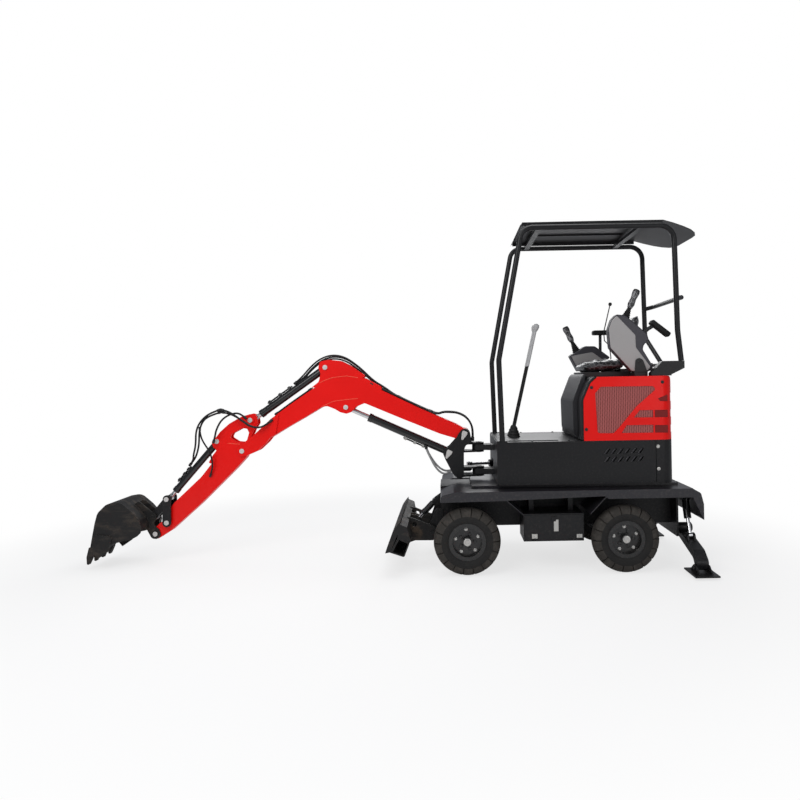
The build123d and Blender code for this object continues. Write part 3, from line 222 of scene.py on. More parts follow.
class Shader:
    """One material's node tree, with a Principled shader at its end."""

    def __init__(self, name: str) -> None:
        """Makes an empty material.

        Args:
            name: The material's name.
        """
        self.material = bpy.data.materials.new(name)
        self.material.use_nodes = True
        self.tree = self.material.node_tree
        self.tree.nodes.clear()

    def node(
        self, kind: str, settings: dict | None = None, inputs: dict | None = None, output: int | str = 0
    ) -> Channel:
        """Adds any node.

        Args:
            kind: The node's type.
            settings: Its settings, set first.
            inputs: A number, a tuple or a channel for each socket, by name or place.
            output: Which of its outputs is wanted.

        Returns:
            The output as a channel.
        """
        made = self.tree.nodes.new(kind)
        for key, value in (settings or {}).items():
            setattr(made, key, value)
        for key, value in (inputs or {}).items():
            if isinstance(value, Channel):
                self.tree.links.new(value.socket, made.inputs[key])
            else:
                made.inputs[key].default_value = value
        return Channel(self, made.outputs[output] if made.outputs else None)

    def place(self) -> Channel:
        """The point on the piece, in metres, before any joint moves it."""
        return self.node("ShaderNodeTexCoord", output="Object")

    def noise(
        self, scale: float, detail: float = 3.0, stretch: Point = (1, 1, 1), rough: float = 0.5
    ) -> Channel:
        """A noise from 0 to 1.

        Args:
            scale: Its scale, in waves per metre.
            detail: Its octaves.
            stretch: A factor for each axis of the place.
            rough: Its roughness.

        Returns:
            The noise.
        """
        spread = self.node("ShaderNodeVectorMath", {"operation": "MULTIPLY"}, {0: self.place(), 1: stretch})
        inputs = {"Vector": spread, "Scale": scale, "Detail": detail, "Roughness": rough}
        return self.node("ShaderNodeTexNoise", None, inputs)

    def axis(self, name: str) -> Channel:
        """The place's X, Y or Z in metres."""
        return self.node("ShaderNodeSeparateXYZ", None, {0: self.place()}, name)

    def tint(self, mask: Number, low: "Tone", high: "Tone") -> Channel:
        """Two colours, mixed by a mask that is 1 where the second one shows."""
        low, high = (tone if isinstance(tone, Channel) else (*tone, 1.0) for tone in (low, high))
        return self.node("ShaderNodeMix", {"data_type": "RGBA"}, {0: mask, 6: low, 7: high}, 2)

    def rounded(self, radius: float) -> Channel:
        """The surface's normal with its edges rounded by a radius in metres."""
        return self.node("ShaderNodeBevel", {"samples": 4}, {"Radius": radius})

    def edges(self, radius: float, gain: float) -> Channel:
        """A mask of the outer and inner edges.

        Args:
            radius: How far the mask reaches from an edge, in metres.
            gain: How fast it rises.

        Returns:
            The mask, 1 at an edge.
        """
        normals = {0: self.rounded(radius), 1: self.node("ShaderNodeNewGeometry", output="Normal")}
        cosine = self.node("ShaderNodeVectorMath", {"operation": "DOT_PRODUCT"}, normals, 1)
        return ((1.0 - cosine) * gain).over(0.0, 1.0)

    def bump(self, height: Channel, distance: float, normal: Channel | None = None) -> Channel:
        """Adds a bump.

        Args:
            height: The height, from 0 to 1.
            distance: What 1 means, in metres.
            normal: The normal it starts from.

        Returns:
            The bumped normal.
        """
        values = {"Height": height, "Distance": distance, "Strength": 1.0}
        if normal is not None:
            values["Normal"] = normal
        return self.node("ShaderNodeBump", None, values)

    def close(self, **sockets: object) -> bpy.types.Material:
        """Ends the tree with a Principled shader.

        Args:
            sockets: The shader's values, with spaces of their names as underscores.

        Returns:
            The finished material.
        """
        values = {key.replace("_", " "): value for key, value in sockets.items()}
        for key, value in list(values.items()):
            if isinstance(value, tuple) and len(value) == 3:
                values[key] = (*value, 1.0)
        surface = self.node("ShaderNodeBsdfPrincipled", None, values)
        self.node("ShaderNodeOutputMaterial", None, {"Surface": surface})
        return self.material


Tone = Union[Colour, Channel]


@dataclass(frozen=True)
class Paint:
    """A sprayed paint on sheet or plate, with dust and slightly worn edges."""

    name: str
    colour: Colour
    roughness: float = 0.3
    coat: float = 0.0
    peel: float = 0.00004
    wear: float = 0.25
    dust: float = 0.12
    gloss: float = 0.3

    def build(self) -> bpy.types.Material:
        """The paint as a material."""
        shader = Shader(self.name)
        broad = shader.noise(2.3, 2.0)
        fine = shader.noise(60.0, 4.0, rough=0.6)
        shade = shader.tint(broad, scaled(self.colour, 0.88), scaled(self.colour, 1.1))
        low_lying = 1.0 - shader.axis("Z").over(0.1, 1.4)
        dust_mask = (fine.over(0.45, 0.8) * (0.25 + low_lying * 0.75)) * self.dust
        dusty = shader.tint(dust_mask, shade, DRY_DUST)
        worn = shader.edges(0.0025, 14.0) * fine.over(0.46, 0.62) * self.wear
        normal = shader.bump(shader.noise(260.0, 2.0), self.peel, normal=shader.rounded(0.003))
        return shader.close(
            Base_Color=shader.tint(worn, dusty, BARE),
            Roughness=self.roughness + dust_mask * 0.5 + (broad - 0.5) * 0.08,
            Specular_IOR_Level=self.gloss,
            Coat_Weight=self.coat,
            Coat_Roughness=0.08,
            Normal=normal,
        )


@dataclass(frozen=True)
class Casting:
    """Cast iron under thin black paint, with a sandy surface."""

    name: str
    colour: Colour = (0.009, 0.009, 0.01)

    def build(self) -> bpy.types.Material:
        """The casting as a material."""
        shader = Shader(self.name)
        sand = shader.noise(190.0, 5.0, rough=0.65)
        stain = shader.noise(9.0, 4.0)
        worn = shader.edges(0.003, 12.0) * sand.over(0.45, 0.6) * 0.5
        body = shader.tint(stain.over(0.45, 0.75) * 0.3, self.colour, (0.035, 0.031, 0.028))
        return shader.close(
            Base_Color=shader.tint(worn, body, BARE),
            Roughness=0.42 + sand * 0.25,
            Normal=shader.bump(sand, 0.0006, normal=shader.rounded(0.004)),
        )


@dataclass(frozen=True)
class Chrome:
    """Hard chrome on a piston rod or a turned pin head."""

    name: str
    colour: Colour = (0.72, 0.72, 0.73)
    roughness: float = 0.12

    def build(self) -> bpy.types.Material:
        """The chrome as a material."""
        shader = Shader(self.name)
        streak = shader.noise(30.0, 3.0, (1.0, 8.0, 1.0))
        return shader.close(
            Base_Color=shader.tint(streak, scaled(self.colour, 0.85), self.colour),
            Metallic=1.0,
            Roughness=self.roughness + streak * 0.1,
            Normal=shader.rounded(0.002),
        )


@dataclass(frozen=True)
class Rubber:
    """Black rubber of tyres, hoses and boots, grey with dust where it is worn."""

    name: str
    colour: Colour = (0.013, 0.0125, 0.012)
    dust: float = 0.5
    sheen: float = 0.62
    dusted: Colour = (0.045, 0.04, 0.036)

    def build(self) -> bpy.types.Material:
        """The rubber as a material."""
        shader = Shader(self.name)
        grain = shader.noise(420.0, 2.0)
        patch = shader.noise(22.0, 5.0, rough=0.6)
        dusty = patch.over(0.42, 0.7) * self.dust
        edge = shader.edges(0.004, 8.0) * 0.35
        tone = shader.tint(dusty, self.colour, self.dusted)
        return shader.close(
            Base_Color=shader.tint(edge, tone, scaled(self.dusted, 1.1)),
            Roughness=self.sheen + patch * 0.25,
            Specular_IOR_Level=0.3,
            Normal=shader.bump(grain, 0.0002, normal=shader.rounded(0.003)),
        )


@dataclass(frozen=True)
class DugSteel:
    """A bucket's plate: thin black paint scoured to brown steel, with dried soil."""

    name: str
    soil: float = 0.6

    def build(self) -> bpy.types.Material:
        """The worn plate as a material."""
        shader = Shader(self.name)
        scour = shader.noise(14.0, 6.0, (0.35, 1.0, 1.0), 0.65)
        fleck = shader.noise(120.0, 4.0, rough=0.7)
        soil = shader.noise(7.0, 5.0, rough=0.6)
        steel = shader.tint(fleck, (0.022, 0.018, 0.015), (0.075, 0.058, 0.045))
        plate = shader.tint(scour.over(0.46, 0.7), (0.009, 0.0085, 0.0085), steel)
        dirty = shader.tint(soil.over(0.55, 0.75) * self.soil, plate, (0.1, 0.07, 0.045))
        bright = shader.edges(0.004, 10.0) * fleck.over(0.45, 0.65) * 0.5
        return shader.close(
            Base_Color=shader.tint(bright, dirty, (0.3, 0.27, 0.24)),
            Specular_IOR_Level=0.35,
            Metallic=bright * 0.7,
            Roughness=0.42 + soil * 0.35,
            Normal=shader.bump(fleck * 0.6 + scour * 0.4, 0.0012, normal=shader.rounded(0.003)),
        )


@dataclass(frozen=True)
class Plastic:
    """Moulded plastic with a leather-like grain."""

    name: str
    colour: Colour
    roughness: float = 0.5
    grain: float = 0.00025
    mottle: float = 0.12

    def build(self) -> bpy.types.Material:
        """The plastic as a material."""
        shader = Shader(self.name)
        pores = {"Vector": shader.place(), "Scale": 380.0}
        cell = shader.node("ShaderNodeTexVoronoi", {"feature": "SMOOTH_F1"}, pores)
        cloud = shader.noise(5.0, 3.0)
        return shader.close(
            Base_Color=shader.tint(cloud, scaled(self.colour, 1.0 - self.mottle), self.colour),
            Roughness=self.roughness + cell * 0.15,
            Normal=shader.bump(cell, self.grain, normal=shader.rounded(0.003)),
        )


@dataclass(frozen=True)
class Perforated:
    """A sheet with close rows of round holes, painted, in front of a dark space; the holes' dark red is
    painted shade of that space.
    """

    name: str
    colour: Colour
    pitch: float = 0.0145
    rise: float = 0.0105
    hole: float = 0.36

    def build(self) -> bpy.types.Material:
        """The sheet as a material."""
        shader = Shader(self.name)
        column = shader.axis("X") * (1.0 / self.pitch)
        row = shader.axis("Z") * (1.0 / self.rise) + (column.math("FLOOR", column) * 0.5)
        across = column.math("FRACT", column) - 0.5
        up = row.math("FRACT", row) - 0.5
        distance = (across * across + up * up) ** 0.5
        solid = distance.over(self.hole - 0.04, self.hole + 0.04)
        return shader.close(
            # the holes' dark red is painted shade of the space behind the sheet
            Base_Color=shader.tint(solid, (0.07, 0.006, 0.005), self.colour),
            Roughness=0.85 - solid * 0.4,
            Normal=shader.bump(solid, 0.0012),
        )


@dataclass(frozen=True)
class Film:
    """Black upholstery under crumpled clear film, with painted glints of light in its creases and waves."""

    name: str
    colour: Colour = (0.012, 0.012, 0.013)
    # glint: colour of the film's painted glints; cover: their share
    glint: Colour = (0.3, 0.31, 0.33)
    cover: float = 0.35

    def build(self) -> bpy.types.Material:
        """The wrapped upholstery as a material."""
        shader = Shader(self.name)
        creases = {"Vector": shader.place(), "Scale": 26.0, "Randomness": 1.0}
        crumple = shader.node("ShaderNodeTexVoronoi", {"feature": "DISTANCE_TO_EDGE"}, creases)
        crease = 1.0 - crumple.over(0.0, 0.12)
        wave = shader.noise(16.0, 4.0, rough=0.6)
        return shader.close(
            # creases and waves lighten towards the glint colour: painted highlights
            Base_Color=shader.tint((crease + wave.over(0.5, 0.7)) * self.cover, self.colour, self.glint),
            Roughness=0.5,
            Coat_Weight=0.55,
            Coat_Roughness=0.1,
            Normal=shader.bump(wave + crease * 0.5, 0.004),
        )


@dataclass(frozen=True)
class Backdrop:
    """The pale floor: white for the camera far from the machine, with its shadow close by."""

    name: str = "pale_floor"
    shadow_from: float = 2.6
    shadow_to: float = 4.6
    least: float = 0.72

    def build(self) -> bpy.types.Material:
        """The floor as a material."""
        shader = Shader(self.name)
        ray = shader.node("ShaderNodeLightPath", output="Is Camera Ray")
        span = shader.node("ShaderNodeVectorMath", {"operation": "LENGTH"}, {0: shader.place()}, 1)
        white = ray * (span.over(self.shadow_from, self.shadow_to) * (1.0 - self.least) + self.least)
        matt = shader.node("ShaderNodeBsdfDiffuse", None, {"Color": (0.93, 0.93, 0.93, 1.0)})
        glow = shader.node("ShaderNodeEmission", None, {"Color": (1.0, 1.0, 1.0, 1.0), "Strength": 1.0})
        surface = shader.node("ShaderNodeMixShader", None, {0: white, 1: matt, 2: glow})
        shader.node("ShaderNodeOutputMaterial", None, {"Surface": surface})
        return shader.material


class Palette:
    """Every finish of the machine, built once."""

    def __init__(self) -> None:
        """Builds the materials."""
        self.red = Paint("red_gloss", RED, 0.34, coat=0.08, wear=0.06, dust=0.02, gloss=0.22).build()
        self.weld = Paint("weld_red", (0.95, 0.09, 0.05), 0.4, wear=0.0, dust=0.0).build()
        # dark red plates for the cowl's slot recesses: painted shade
        self.recess = Paint("recess_red", (0.2, 0.006, 0.005), 0.5, wear=0.0, dust=0.1).build()
        self.black = Paint("black_satin", BLACK, 0.4, coat=0.05).build()
        # black deck paint with real dust, lightened and tinted lavender as painted sheen of reflections; it
        # also dresses the fenders, the slew base and the louvre hoods
        self.deck = Paint("deck_satin", (0.0125, 0.0115, 0.0155), 0.32, 0.1, dust=0.25, gloss=0.5).build()
        self.chassis = Paint("chassis_satin", (0.006, 0.006, 0.0068), 0.42, dust=0.18).build()
        self.barrel = Paint("barrel_gloss", (0.0065, 0.0065, 0.0072), 0.26, 0.2, dust=0.04, gloss=0.5).build()
        self.rim = Paint("rim_gloss", (0.0065,) * 3, 0.3, 0.2, wear=0.3, dust=0.18, gloss=0.5).build()
        self.cast = Casting("cast_black").build()
        self.engine = Casting("engine_cast", (0.03, 0.03, 0.032)).build()
        self.chrome = Chrome("rod_chrome").build()
        self.zinc = Chrome("zinc_plated", (0.62, 0.61, 0.58), 0.34).build()
        self.pin = Paint("pin_silver", (0.62, 0.6, 0.58), 0.4, wear=0.1, dust=0.1, gloss=0.5).build()
        self.tyre = Rubber("tyre_rubber", dust=0.35, dusted=(0.03, 0.027, 0.024)).build()
        worn = (0.07, 0.062, 0.054)
        self.shoulder = Rubber("shoulder_rubber", (0.034, 0.03, 0.026), 0.6, dusted=worn).build()
        self.hose = Rubber("hose_rubber", (0.008, 0.008, 0.0085), 0.1, 0.42, (0.03, 0.03, 0.03)).build()
        self.pale_hose = Rubber("pale_hose", (0.3, 0.3, 0.3), 0.2, 0.5, (0.45, 0.45, 0.45)).build()
        self.boot = Rubber("boot_rubber", (0.009, 0.009, 0.009), dust=0.06, sheen=0.5).build()
        self.dug = DugSteel("dug_steel").build()
        self.blade = DugSteel("blade_steel", 0.9).build()
        self.moulded = Plastic("moulded_black", (0.022, 0.022, 0.025), 0.42, 0.0004, 0.3).build()
        self.console = Plastic("console_grey", (0.4, 0.385, 0.38), 0.46).build()
        self.band = Plastic("console_band", (0.052, 0.05, 0.06), 0.44).build()
        self.trim = Plastic("trim_black", (0.01, 0.01, 0.011), 0.45).build()
        self.pale = Plastic("pale_plastic", (0.5, 0.5, 0.5), 0.4).build()
        self.grille = Perforated("grille_red", (0.52, 0.13, 0.12)).build()
        # both wrappings carry painted glints in their creases, the clear one more strongly
        self.film = Film("wrapped_black").build()
        self.wrap = Film("wrapped_clear", (0.02, 0.02, 0.021), (0.5, 0.5, 0.52), 0.5).build()


class Form:
    """A mesh under construction, in the row's frame."""

    def __init__(self) -> None:
        """Starts with no geometry."""
        self.bm = bmesh.new()

    def skin(self, rings: list[list[bmesh.types.BMVert]]) -> "Form":
        """Joins rings of points and closes both ends.

        Args:
            rings: The rings, each with the same number of points.

        Returns:
            The form itself.
        """
        for first, second in zip(rings, rings[1:]):
            for step in range(len(first)):
                following = (step + 1) % len(first)
                self.bm.faces.new((first[step], first[following], second[following], second[step]))
        self.bm.faces.new(list(reversed(rings[0])))
        self.bm.faces.new(rings[-1])
        return self

    def lathe(self, profile: Flat, origin: Vector, axis: Vector, sides: int = 24) -> "Form":
        """Adds a turned shape.

        Args:
            profile: Pairs of distance along the axis and radius.
            origin: Where the axis starts.
            axis: The axis's direction.
            sides: The number of sides.

        Returns:
            The form itself.
        """
        turn = axis.to_track_quat("Z", "Y").to_matrix()
        rings = []
        for along, radius in profile:
            ring = []
            for step in range(sides):
                angle = tau * step / sides
                local = Vector((radius * cos(angle), radius * sin(angle), along))
                ring.append(self.bm.verts.new(origin + turn @ local))
            rings.append(ring)
        return self.skin(rings)

    def hex_bolt(self, origin: Vector, axis: Vector, across: float, height: float) -> "Form":
        """Adds a bolt's head with its washer.

        Args:
            origin: Where the washer sits.
            axis: The way the head points.
            across: The head's size across flats.
            height: The head's height.

        Returns:
            The form itself.
        """
        washer, rim = height * 0.3, across * 0.86
        self.lathe([(-washer, rim), (washer * 0.8, rim), (washer, across * 0.82)], origin, axis, 20)
        corner = across / 2 / cos(pi / 6)
        start = origin + axis.normalized() * washer
        return self.lathe([(0, corner), (height * 0.85, corner), (height, corner * 0.88)], start, axis, 6)

    def tube(self, points: Sequence[Vector], radius: float, sides: int = 12) -> "Form":
        """Adds a round tube along points.

        Args:
            points: The middle line.
            radius: The tube's radius.
            sides: The number of sides.

        Returns:
            The form itself.
        """
        rings = []
        heading = (points[1] - points[0]).normalized()
        side = heading.orthogonal().normalized()
        for number, point in enumerate(points):
            before = points[max(number - 1, 0)]
            after = points[min(number + 1, len(points) - 1)]
            heading = (after - before).normalized()
            side = (side - heading * side.dot(heading)).normalized()
            other = heading.cross(side)
            angles = (tau * step / sides for step in range(sides))
            spokes = (cos(angle) * side + sin(angle) * other for angle in angles)
            rings.append([self.bm.verts.new(point + radius * spoke) for spoke in spokes])
        return self.skin(rings)

    def slab(self, outline: Flat, y_low: float, y_high: float) -> "Form":
        """Adds a plate with an outline in x and z, given from the slew axis.

        Args:
            outline: The corners.
            y_low: The lower side's y.
            y_high: The upper side's y.

        Returns:
            The form itself.
        """
        low = [self.bm.verts.new(at(x, y_low, z)) for x, z in outline]
        high = [self.bm.verts.new(at(x, y_high, z)) for x, z in outline]
        self.bm.faces.new(low)
        self.bm.faces.new(list(reversed(high)))
        count = len(outline)
        for number in range(count):
            following = (number + 1) % count
            self.bm.faces.new((low[number], high[number], high[following], low[following]))
        return self

    def block(self, low: Point, high: Point) -> "Form":
        """Adds a box, given by its lowest and highest corner from the slew axis, and returns the form."""
        outline = [(low[0], low[2]), (high[0], low[2]), (high[0], high[2]), (low[0], high[2])]
        return self.slab(outline, low[1], high[1])

    def pillow(
        self, middle: Vector, along: Vector, across: Vector, thick: Vector, crumple: float, cells: int = 26
    ) -> "Form":
        """Adds a crowned closed cushion with a crumpled surface.

        Args:
            middle: Its middle.
            along: Half its length, as a vector.
            across: Half its width, as a vector.
            thick: Half its thickness, as a vector.
            crumple: How far the surface strays, in metres.
            cells: The grid's cells each way.

        Returns:
            The form itself.
        """
        for face in (-1, 1):
            rows = []
            for row in range(cells + 1):
                line = []
                for column in range(cells + 1):
                    u, v = 2 * row / cells - 1, 2 * column / cells - 1
                    crown = (max(0.0, 1 - abs(u) ** 3.5) * max(0.0, 1 - abs(v) ** 3.5)) ** 0.42
                    pull_u, pull_v = 1 - 0.05 * v * v, 1 - 0.05 * u * u
                    point = middle + along * (u * pull_u) + across * (v * pull_v) + thick * (face * crown)
                    point += thick.normalized() * (noise.noise(point * 19.0) * crumple * crown)
                    line.append(self.bm.verts.new(point))
                rows.append(line)
            for near, far in zip(rows, rows[1:]):
                for column in range(cells):
                    self.bm.faces.new((near[column], far[column], far[column + 1], near[column + 1]))
        bmesh.ops.remove_doubles(self.bm, verts=self.bm.verts, dist=1e-5)
        return self

    def finish(
        self,
        name: str,
        body: str,
        material: bpy.types.Material,
        bevel: float = 0.0,
        smooth_angle: float = 40.0,
        second: bpy.types.Material | None = None,
    ) -> bpy.types.Object:
        """Turns the form into a piece that rides on a body.

        Args:
            name: The piece's name.
            body: The body that carries it.
            material: Its finish.
            bevel: The width of a bevel on its edges, in metres.
            smooth_angle: Faces that meet under this angle are shaded smooth.
            second: The finish of the faces whose material index is 1.

        Returns:
            The piece.
        """
        bmesh.ops.recalc_face_normals(self.bm, faces=self.bm.faces)
        mesh = bpy.data.meshes.new(name)
        self.bm.to_mesh(mesh)
        self.bm.free()
        piece = bpy.data.objects.new(name, mesh)
        bpy.context.scene.collection.objects.link(piece)
        mesh.materials.append(material)
        if second:
            mesh.materials.append(second)
        if bevel:
            rounding = piece.modifiers.new("bevel", "BEVEL")
            rounding.width = bevel
            rounding.segments = 2
            rounding.limit_method = "ANGLE"
            rounding.angle_limit = radians(35)
        for polygon in mesh.polygons:
            polygon.use_smooth = True
        mesh.set_sharp_from_angle(angle=radians(smooth_angle))
        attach(piece, body)
        log.info("%s on %s", name, body)
        return piece


@dataclass
class Assembly:
    """Pieces that belong together, and the finishes that they wear."""

    look: Palette


@dataclass
class Wheels(Assembly):
    """Tyres with rounded shoulders and cut blocks, and the nuts, studs and hub rings of their rims."""

    slots: int = 18
    slot_degrees: float = 2.4
    slot_wall_degrees: float = 0.3
    slot_depth: float = 0.011
    slot_lean: float = 0.7
    slot_from_middle: float = 0.02
    tread_from: float = 0.206
    block_shares: tuple[float, ...] = (0.35, 0.57, 0.78)
    nuts: int = 5
    nut_height: float = 0.009
    ray_reach: float = 0.4
    hub_stand: float = 0.05
    profile: Flat = (
        # distance from the tyre's middle, radius
        (0.060, 0.150), (0.067, 0.156), (0.073, 0.172), (0.075, 0.190), (0.0745, 0.204), (0.073, 0.207),
        (0.0715, 0.222), (0.067, 0.238), (0.059, 0.251), (0.047, 0.2605), (0.030, 0.267), (0.010, 0.2695),
    )
    hub_profile: Flat = ((-0.001, 0.03), (0.004, 0.03), (0.006, 0.026), (0.006, 0.017), (0.004, 0.015))

    def build(self) -> None:
        """Dresses the four wheels."""
        for end in ("front", "rear"):
            for side, hand in HANDS:
                low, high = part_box(f"tyre_{end}_{hand}")
                middle = (Vector(low) + Vector(high)) / 2
                self._tyre(f"{end}_{hand}", middle)
                self._nuts(f"{end}_{hand}", middle, side)

    def _tyre(self, name: str, middle: Vector) -> None:
        """One tyre.

        Args:
            name: The wheel's name.
            middle: The tyre's middle.
        """
        form = Form()
        section = list(self.profile) + [(-across, radius) for across, radius in reversed(self.profile)]
        pitch = 360.0 / self.slots
        wall = self.slot_wall_degrees
        steps = [0.0, wall, self.slot_degrees - wall, self.slot_degrees]
        steps += [pitch * share for share in self.block_shares]
        rings = []
        for slot in range(self.slots):
            for number, step in enumerate(steps):
                angle = radians(slot * pitch + step)
                ring = []
                for across, radius in section:
                    on_block = radius > self.tread_from and abs(across) > self.slot_from_middle
                    cut = self.slot_depth if number in (1, 2) and on_block else 0.0
                    inward = across - (self.slot_lean * cut if across > 0 else -self.slot_lean * cut)
                    spoke = Vector(((radius - cut) * cos(angle), inward, (radius - cut) * sin(angle)))
                    ring.append(form.bm.verts.new(middle + spoke))
                rings.append(ring)
        for first, second in zip(rings, rings[1:] + rings[:1]):
            for number in range(len(section)):
                following = (number + 1) % len(section)
                face = form.bm.faces.new((first[number], first[following], second[following], second[number]))
                on_tread = min(section[number][1], section[following][1]) > self.tread_from
                face.material_index = 1 if on_tread else 0
        tyre = form.finish(f"tyre_cover_{name}", f"wheel_{name}", self.look.tyre, second=self.look.shoulder)
        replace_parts(tyre, f"tyre_{name}")

    def _nuts(self, name: str, middle: Vector, side: Side) -> None:
        """The nuts, the studs and the hub's ring of one wheel.

        Args:
            name: The wheel's name.
            middle: The tyre's middle.
            side: The side it is on.
        """
        rim = f"rim_{name}"
        bright, dark = Form(), Form()
        rings = (
            # form, radius of the ring, size across flats, turn of the ring
            (bright, 0.097, 0.017, 0.4),
            (dark, 0.06, 0.02, 0.0),
        )
        for form, ring, across, turn in rings:
            for step in range(self.nuts):
                angle = tau * step / self.nuts + turn
                away = Vector((ring * cos(angle), side.value * self.ray_reach, ring * sin(angle)))
                seat = touch(rim, middle + away, -side.outward)
                if seat is not None:
                    form.hex_bolt(seat, side.outward, across, self.nut_height)
        start = middle + side.outward * self.ray_reach
        hub = touch(rim, start, -side.outward) or middle + side.outward * self.hub_stand
        bright.lathe(self.hub_profile, hub, side.outward, 32)
        bright.finish(f"nuts_{name}", f"wheel_{name}", self.look.zinc)
        dark.finish(f"studs_{name}", f"wheel_{name}", self.look.rim)


@dataclass
class PinHeads(Assembly):
    """The silver heads of the working arm's pins, and the keepers of the swing post's pins."""

    radius: float = 0.021
    proud: float = 0.004
    edge: float = 0.002
    chamfer: float = 0.001
    keeper_half: float = 0.024
    keeper_tip: float = 0.3
    keeper_corner: float = 0.02
    joints: tuple[tuple[str, str], ...] = (
        # joint on the pin's axis, body that the head rides on
        ("arm_barrel_tilt", "boom"),
        ("arm_fold", "arm"),
        ("bucket_barrel_tilt", "arm"),
        ("rocker_tilt", "rocker"),
        ("link_tilt", "link"),
        ("bucket_curl", "bucket"),
    )
    others: tuple[tuple[str, float, float], ...] = (("boom", -1.776, 1.343), ("arm", -2.617, 1.245))
    keepers: tuple[tuple[str, tuple[float, float]], ...] = (
        # joint on the pin's axis, way from there to the keeper's tip
        ("boom_lift", (-0.022, -0.052)),
        ("boom_barrel_tilt", (-0.026, -0.048)),
    )

    def build(self) -> None:
        """Places the heads and the keepers."""
        spots = [(body, *joint_place(joint)) for joint, body in self.joints]
        rim = (self.proud - self.chamfer, self.radius)
        profile = [(-self.edge, self.radius), rim, (self.proud, self.radius - self.edge)]
        for number, (body, x, z) in enumerate(spots + list(self.others)):
            form = Form()
            for side in Side:
                form.lathe(profile, outermost(x, z, side, self.radius + self.edge), side.outward, 28)
            form.finish(f"pin_heads_{number}", body, self.look.pin)
        plates = Form()
        for joint, tip in self.keepers:
            self._keeper(plates, joint, tip)
        plates.finish("pin_keepers", "swing_post", self.look.pin, bevel=0.001)

    def _keeper(self, form: Form, joint: str, tip: tuple[float, float]) -> None:
        """Adds one keeper, broad over the pin and narrow at its tip.

        Args:
            form: The form that it goes into.
            joint: The joint on the pin's axis.
            tip: The way from the pin to the tip.
        """
        x, z = joint_place(joint)
        aside = Vector((-tip[1], tip[0])).normalized() * self.keeper_half
        back = -Vector(tip).normalized() * self.keeper_half
        far = Vector(tip)
        narrow = aside * self.keeper_tip
        ways = (aside, back + aside, back - aside, -aside, far - narrow, far + narrow)
        outline = [(x + way.x, z + way.y) for way in ways]
        face = outermost(x, z, Side.NEAR, self.keeper_corner).y
        form.slab(rounded(outline, self.keeper_corner), face - self.proud, face + self.chamfer)


@dataclass(frozen=True)
class Hose:
    """One hydraulic hose: its route, and the body or the two jointed bodies that hold it."""

    name: str
    route: tuple[Point, ...]
    holders: tuple[str, ...]
    radius: float = 0.009
    pale: bool = False
    ferrule: Flat = (
        # distance from the hose's end, factor of its radius
        (-0.004, 1.1), (0.0, 1.45), (0.028, 1.45), (0.032, 1.15),
    )

    def line(self) -> list[Vector]:
        """The points of the route's smooth line."""
        curve = bpy.data.curves.new(self.name, "CURVE")
        curve.dimensions = "3D"
        spline = curve.splines.new("NURBS")
        spline.points.add(len(self.route) - 1)
        for point, place in zip(spline.points, self.route):
            point.co = (*at(*place), 1.0)
        spline.order_u = 3
        spline.use_endpoint_u = True
        spline.resolution_u = 10
        holder = bpy.data.objects.new(self.name, curve)
        bpy.context.scene.collection.objects.link(holder)
        bpy.context.view_layer.update()
        mesh = bpy.data.meshes.new_from_object(holder)
        points = [vertex.co.copy() for vertex in mesh.vertices]
        bpy.data.objects.remove(holder)
        return points

    def build(self, look: Palette) -> None:
        """Makes the hose with a ferrule at each end.

        Args:
            look: The machine's finishes.
        """
        points = self.line()
        length = sum((second - first).length for first, second in zip(points, points[1:]))
        log.info("%s is %.3f m", self.name, length)
        form = Form().tube(points, self.radius, 12)
        hose = form.finish(self.name, self.holders[0], look.pale_hose if self.pale else look.hose)
        if len(self.holders) == 2:
            hose.parent = None
            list(self.holders)
            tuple(points[0])
            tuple(points[-1])
            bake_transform(hose)
        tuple(points[0])
        2 * self.radius
        ends = ((points[0], points[2], self.holders[0]), (points[-1], points[-3], self.holders[-1]))
        for number, (tip, inner, holder) in enumerate(ends):
            profile = [(along, factor * self.radius) for along, factor in self.ferrule]
            sleeve = Form().lathe(profile, tip, (inner - tip).normalized(), 16)
            sleeve.finish(f"{self.name}_ferrule_{number}", holder, look.trim)


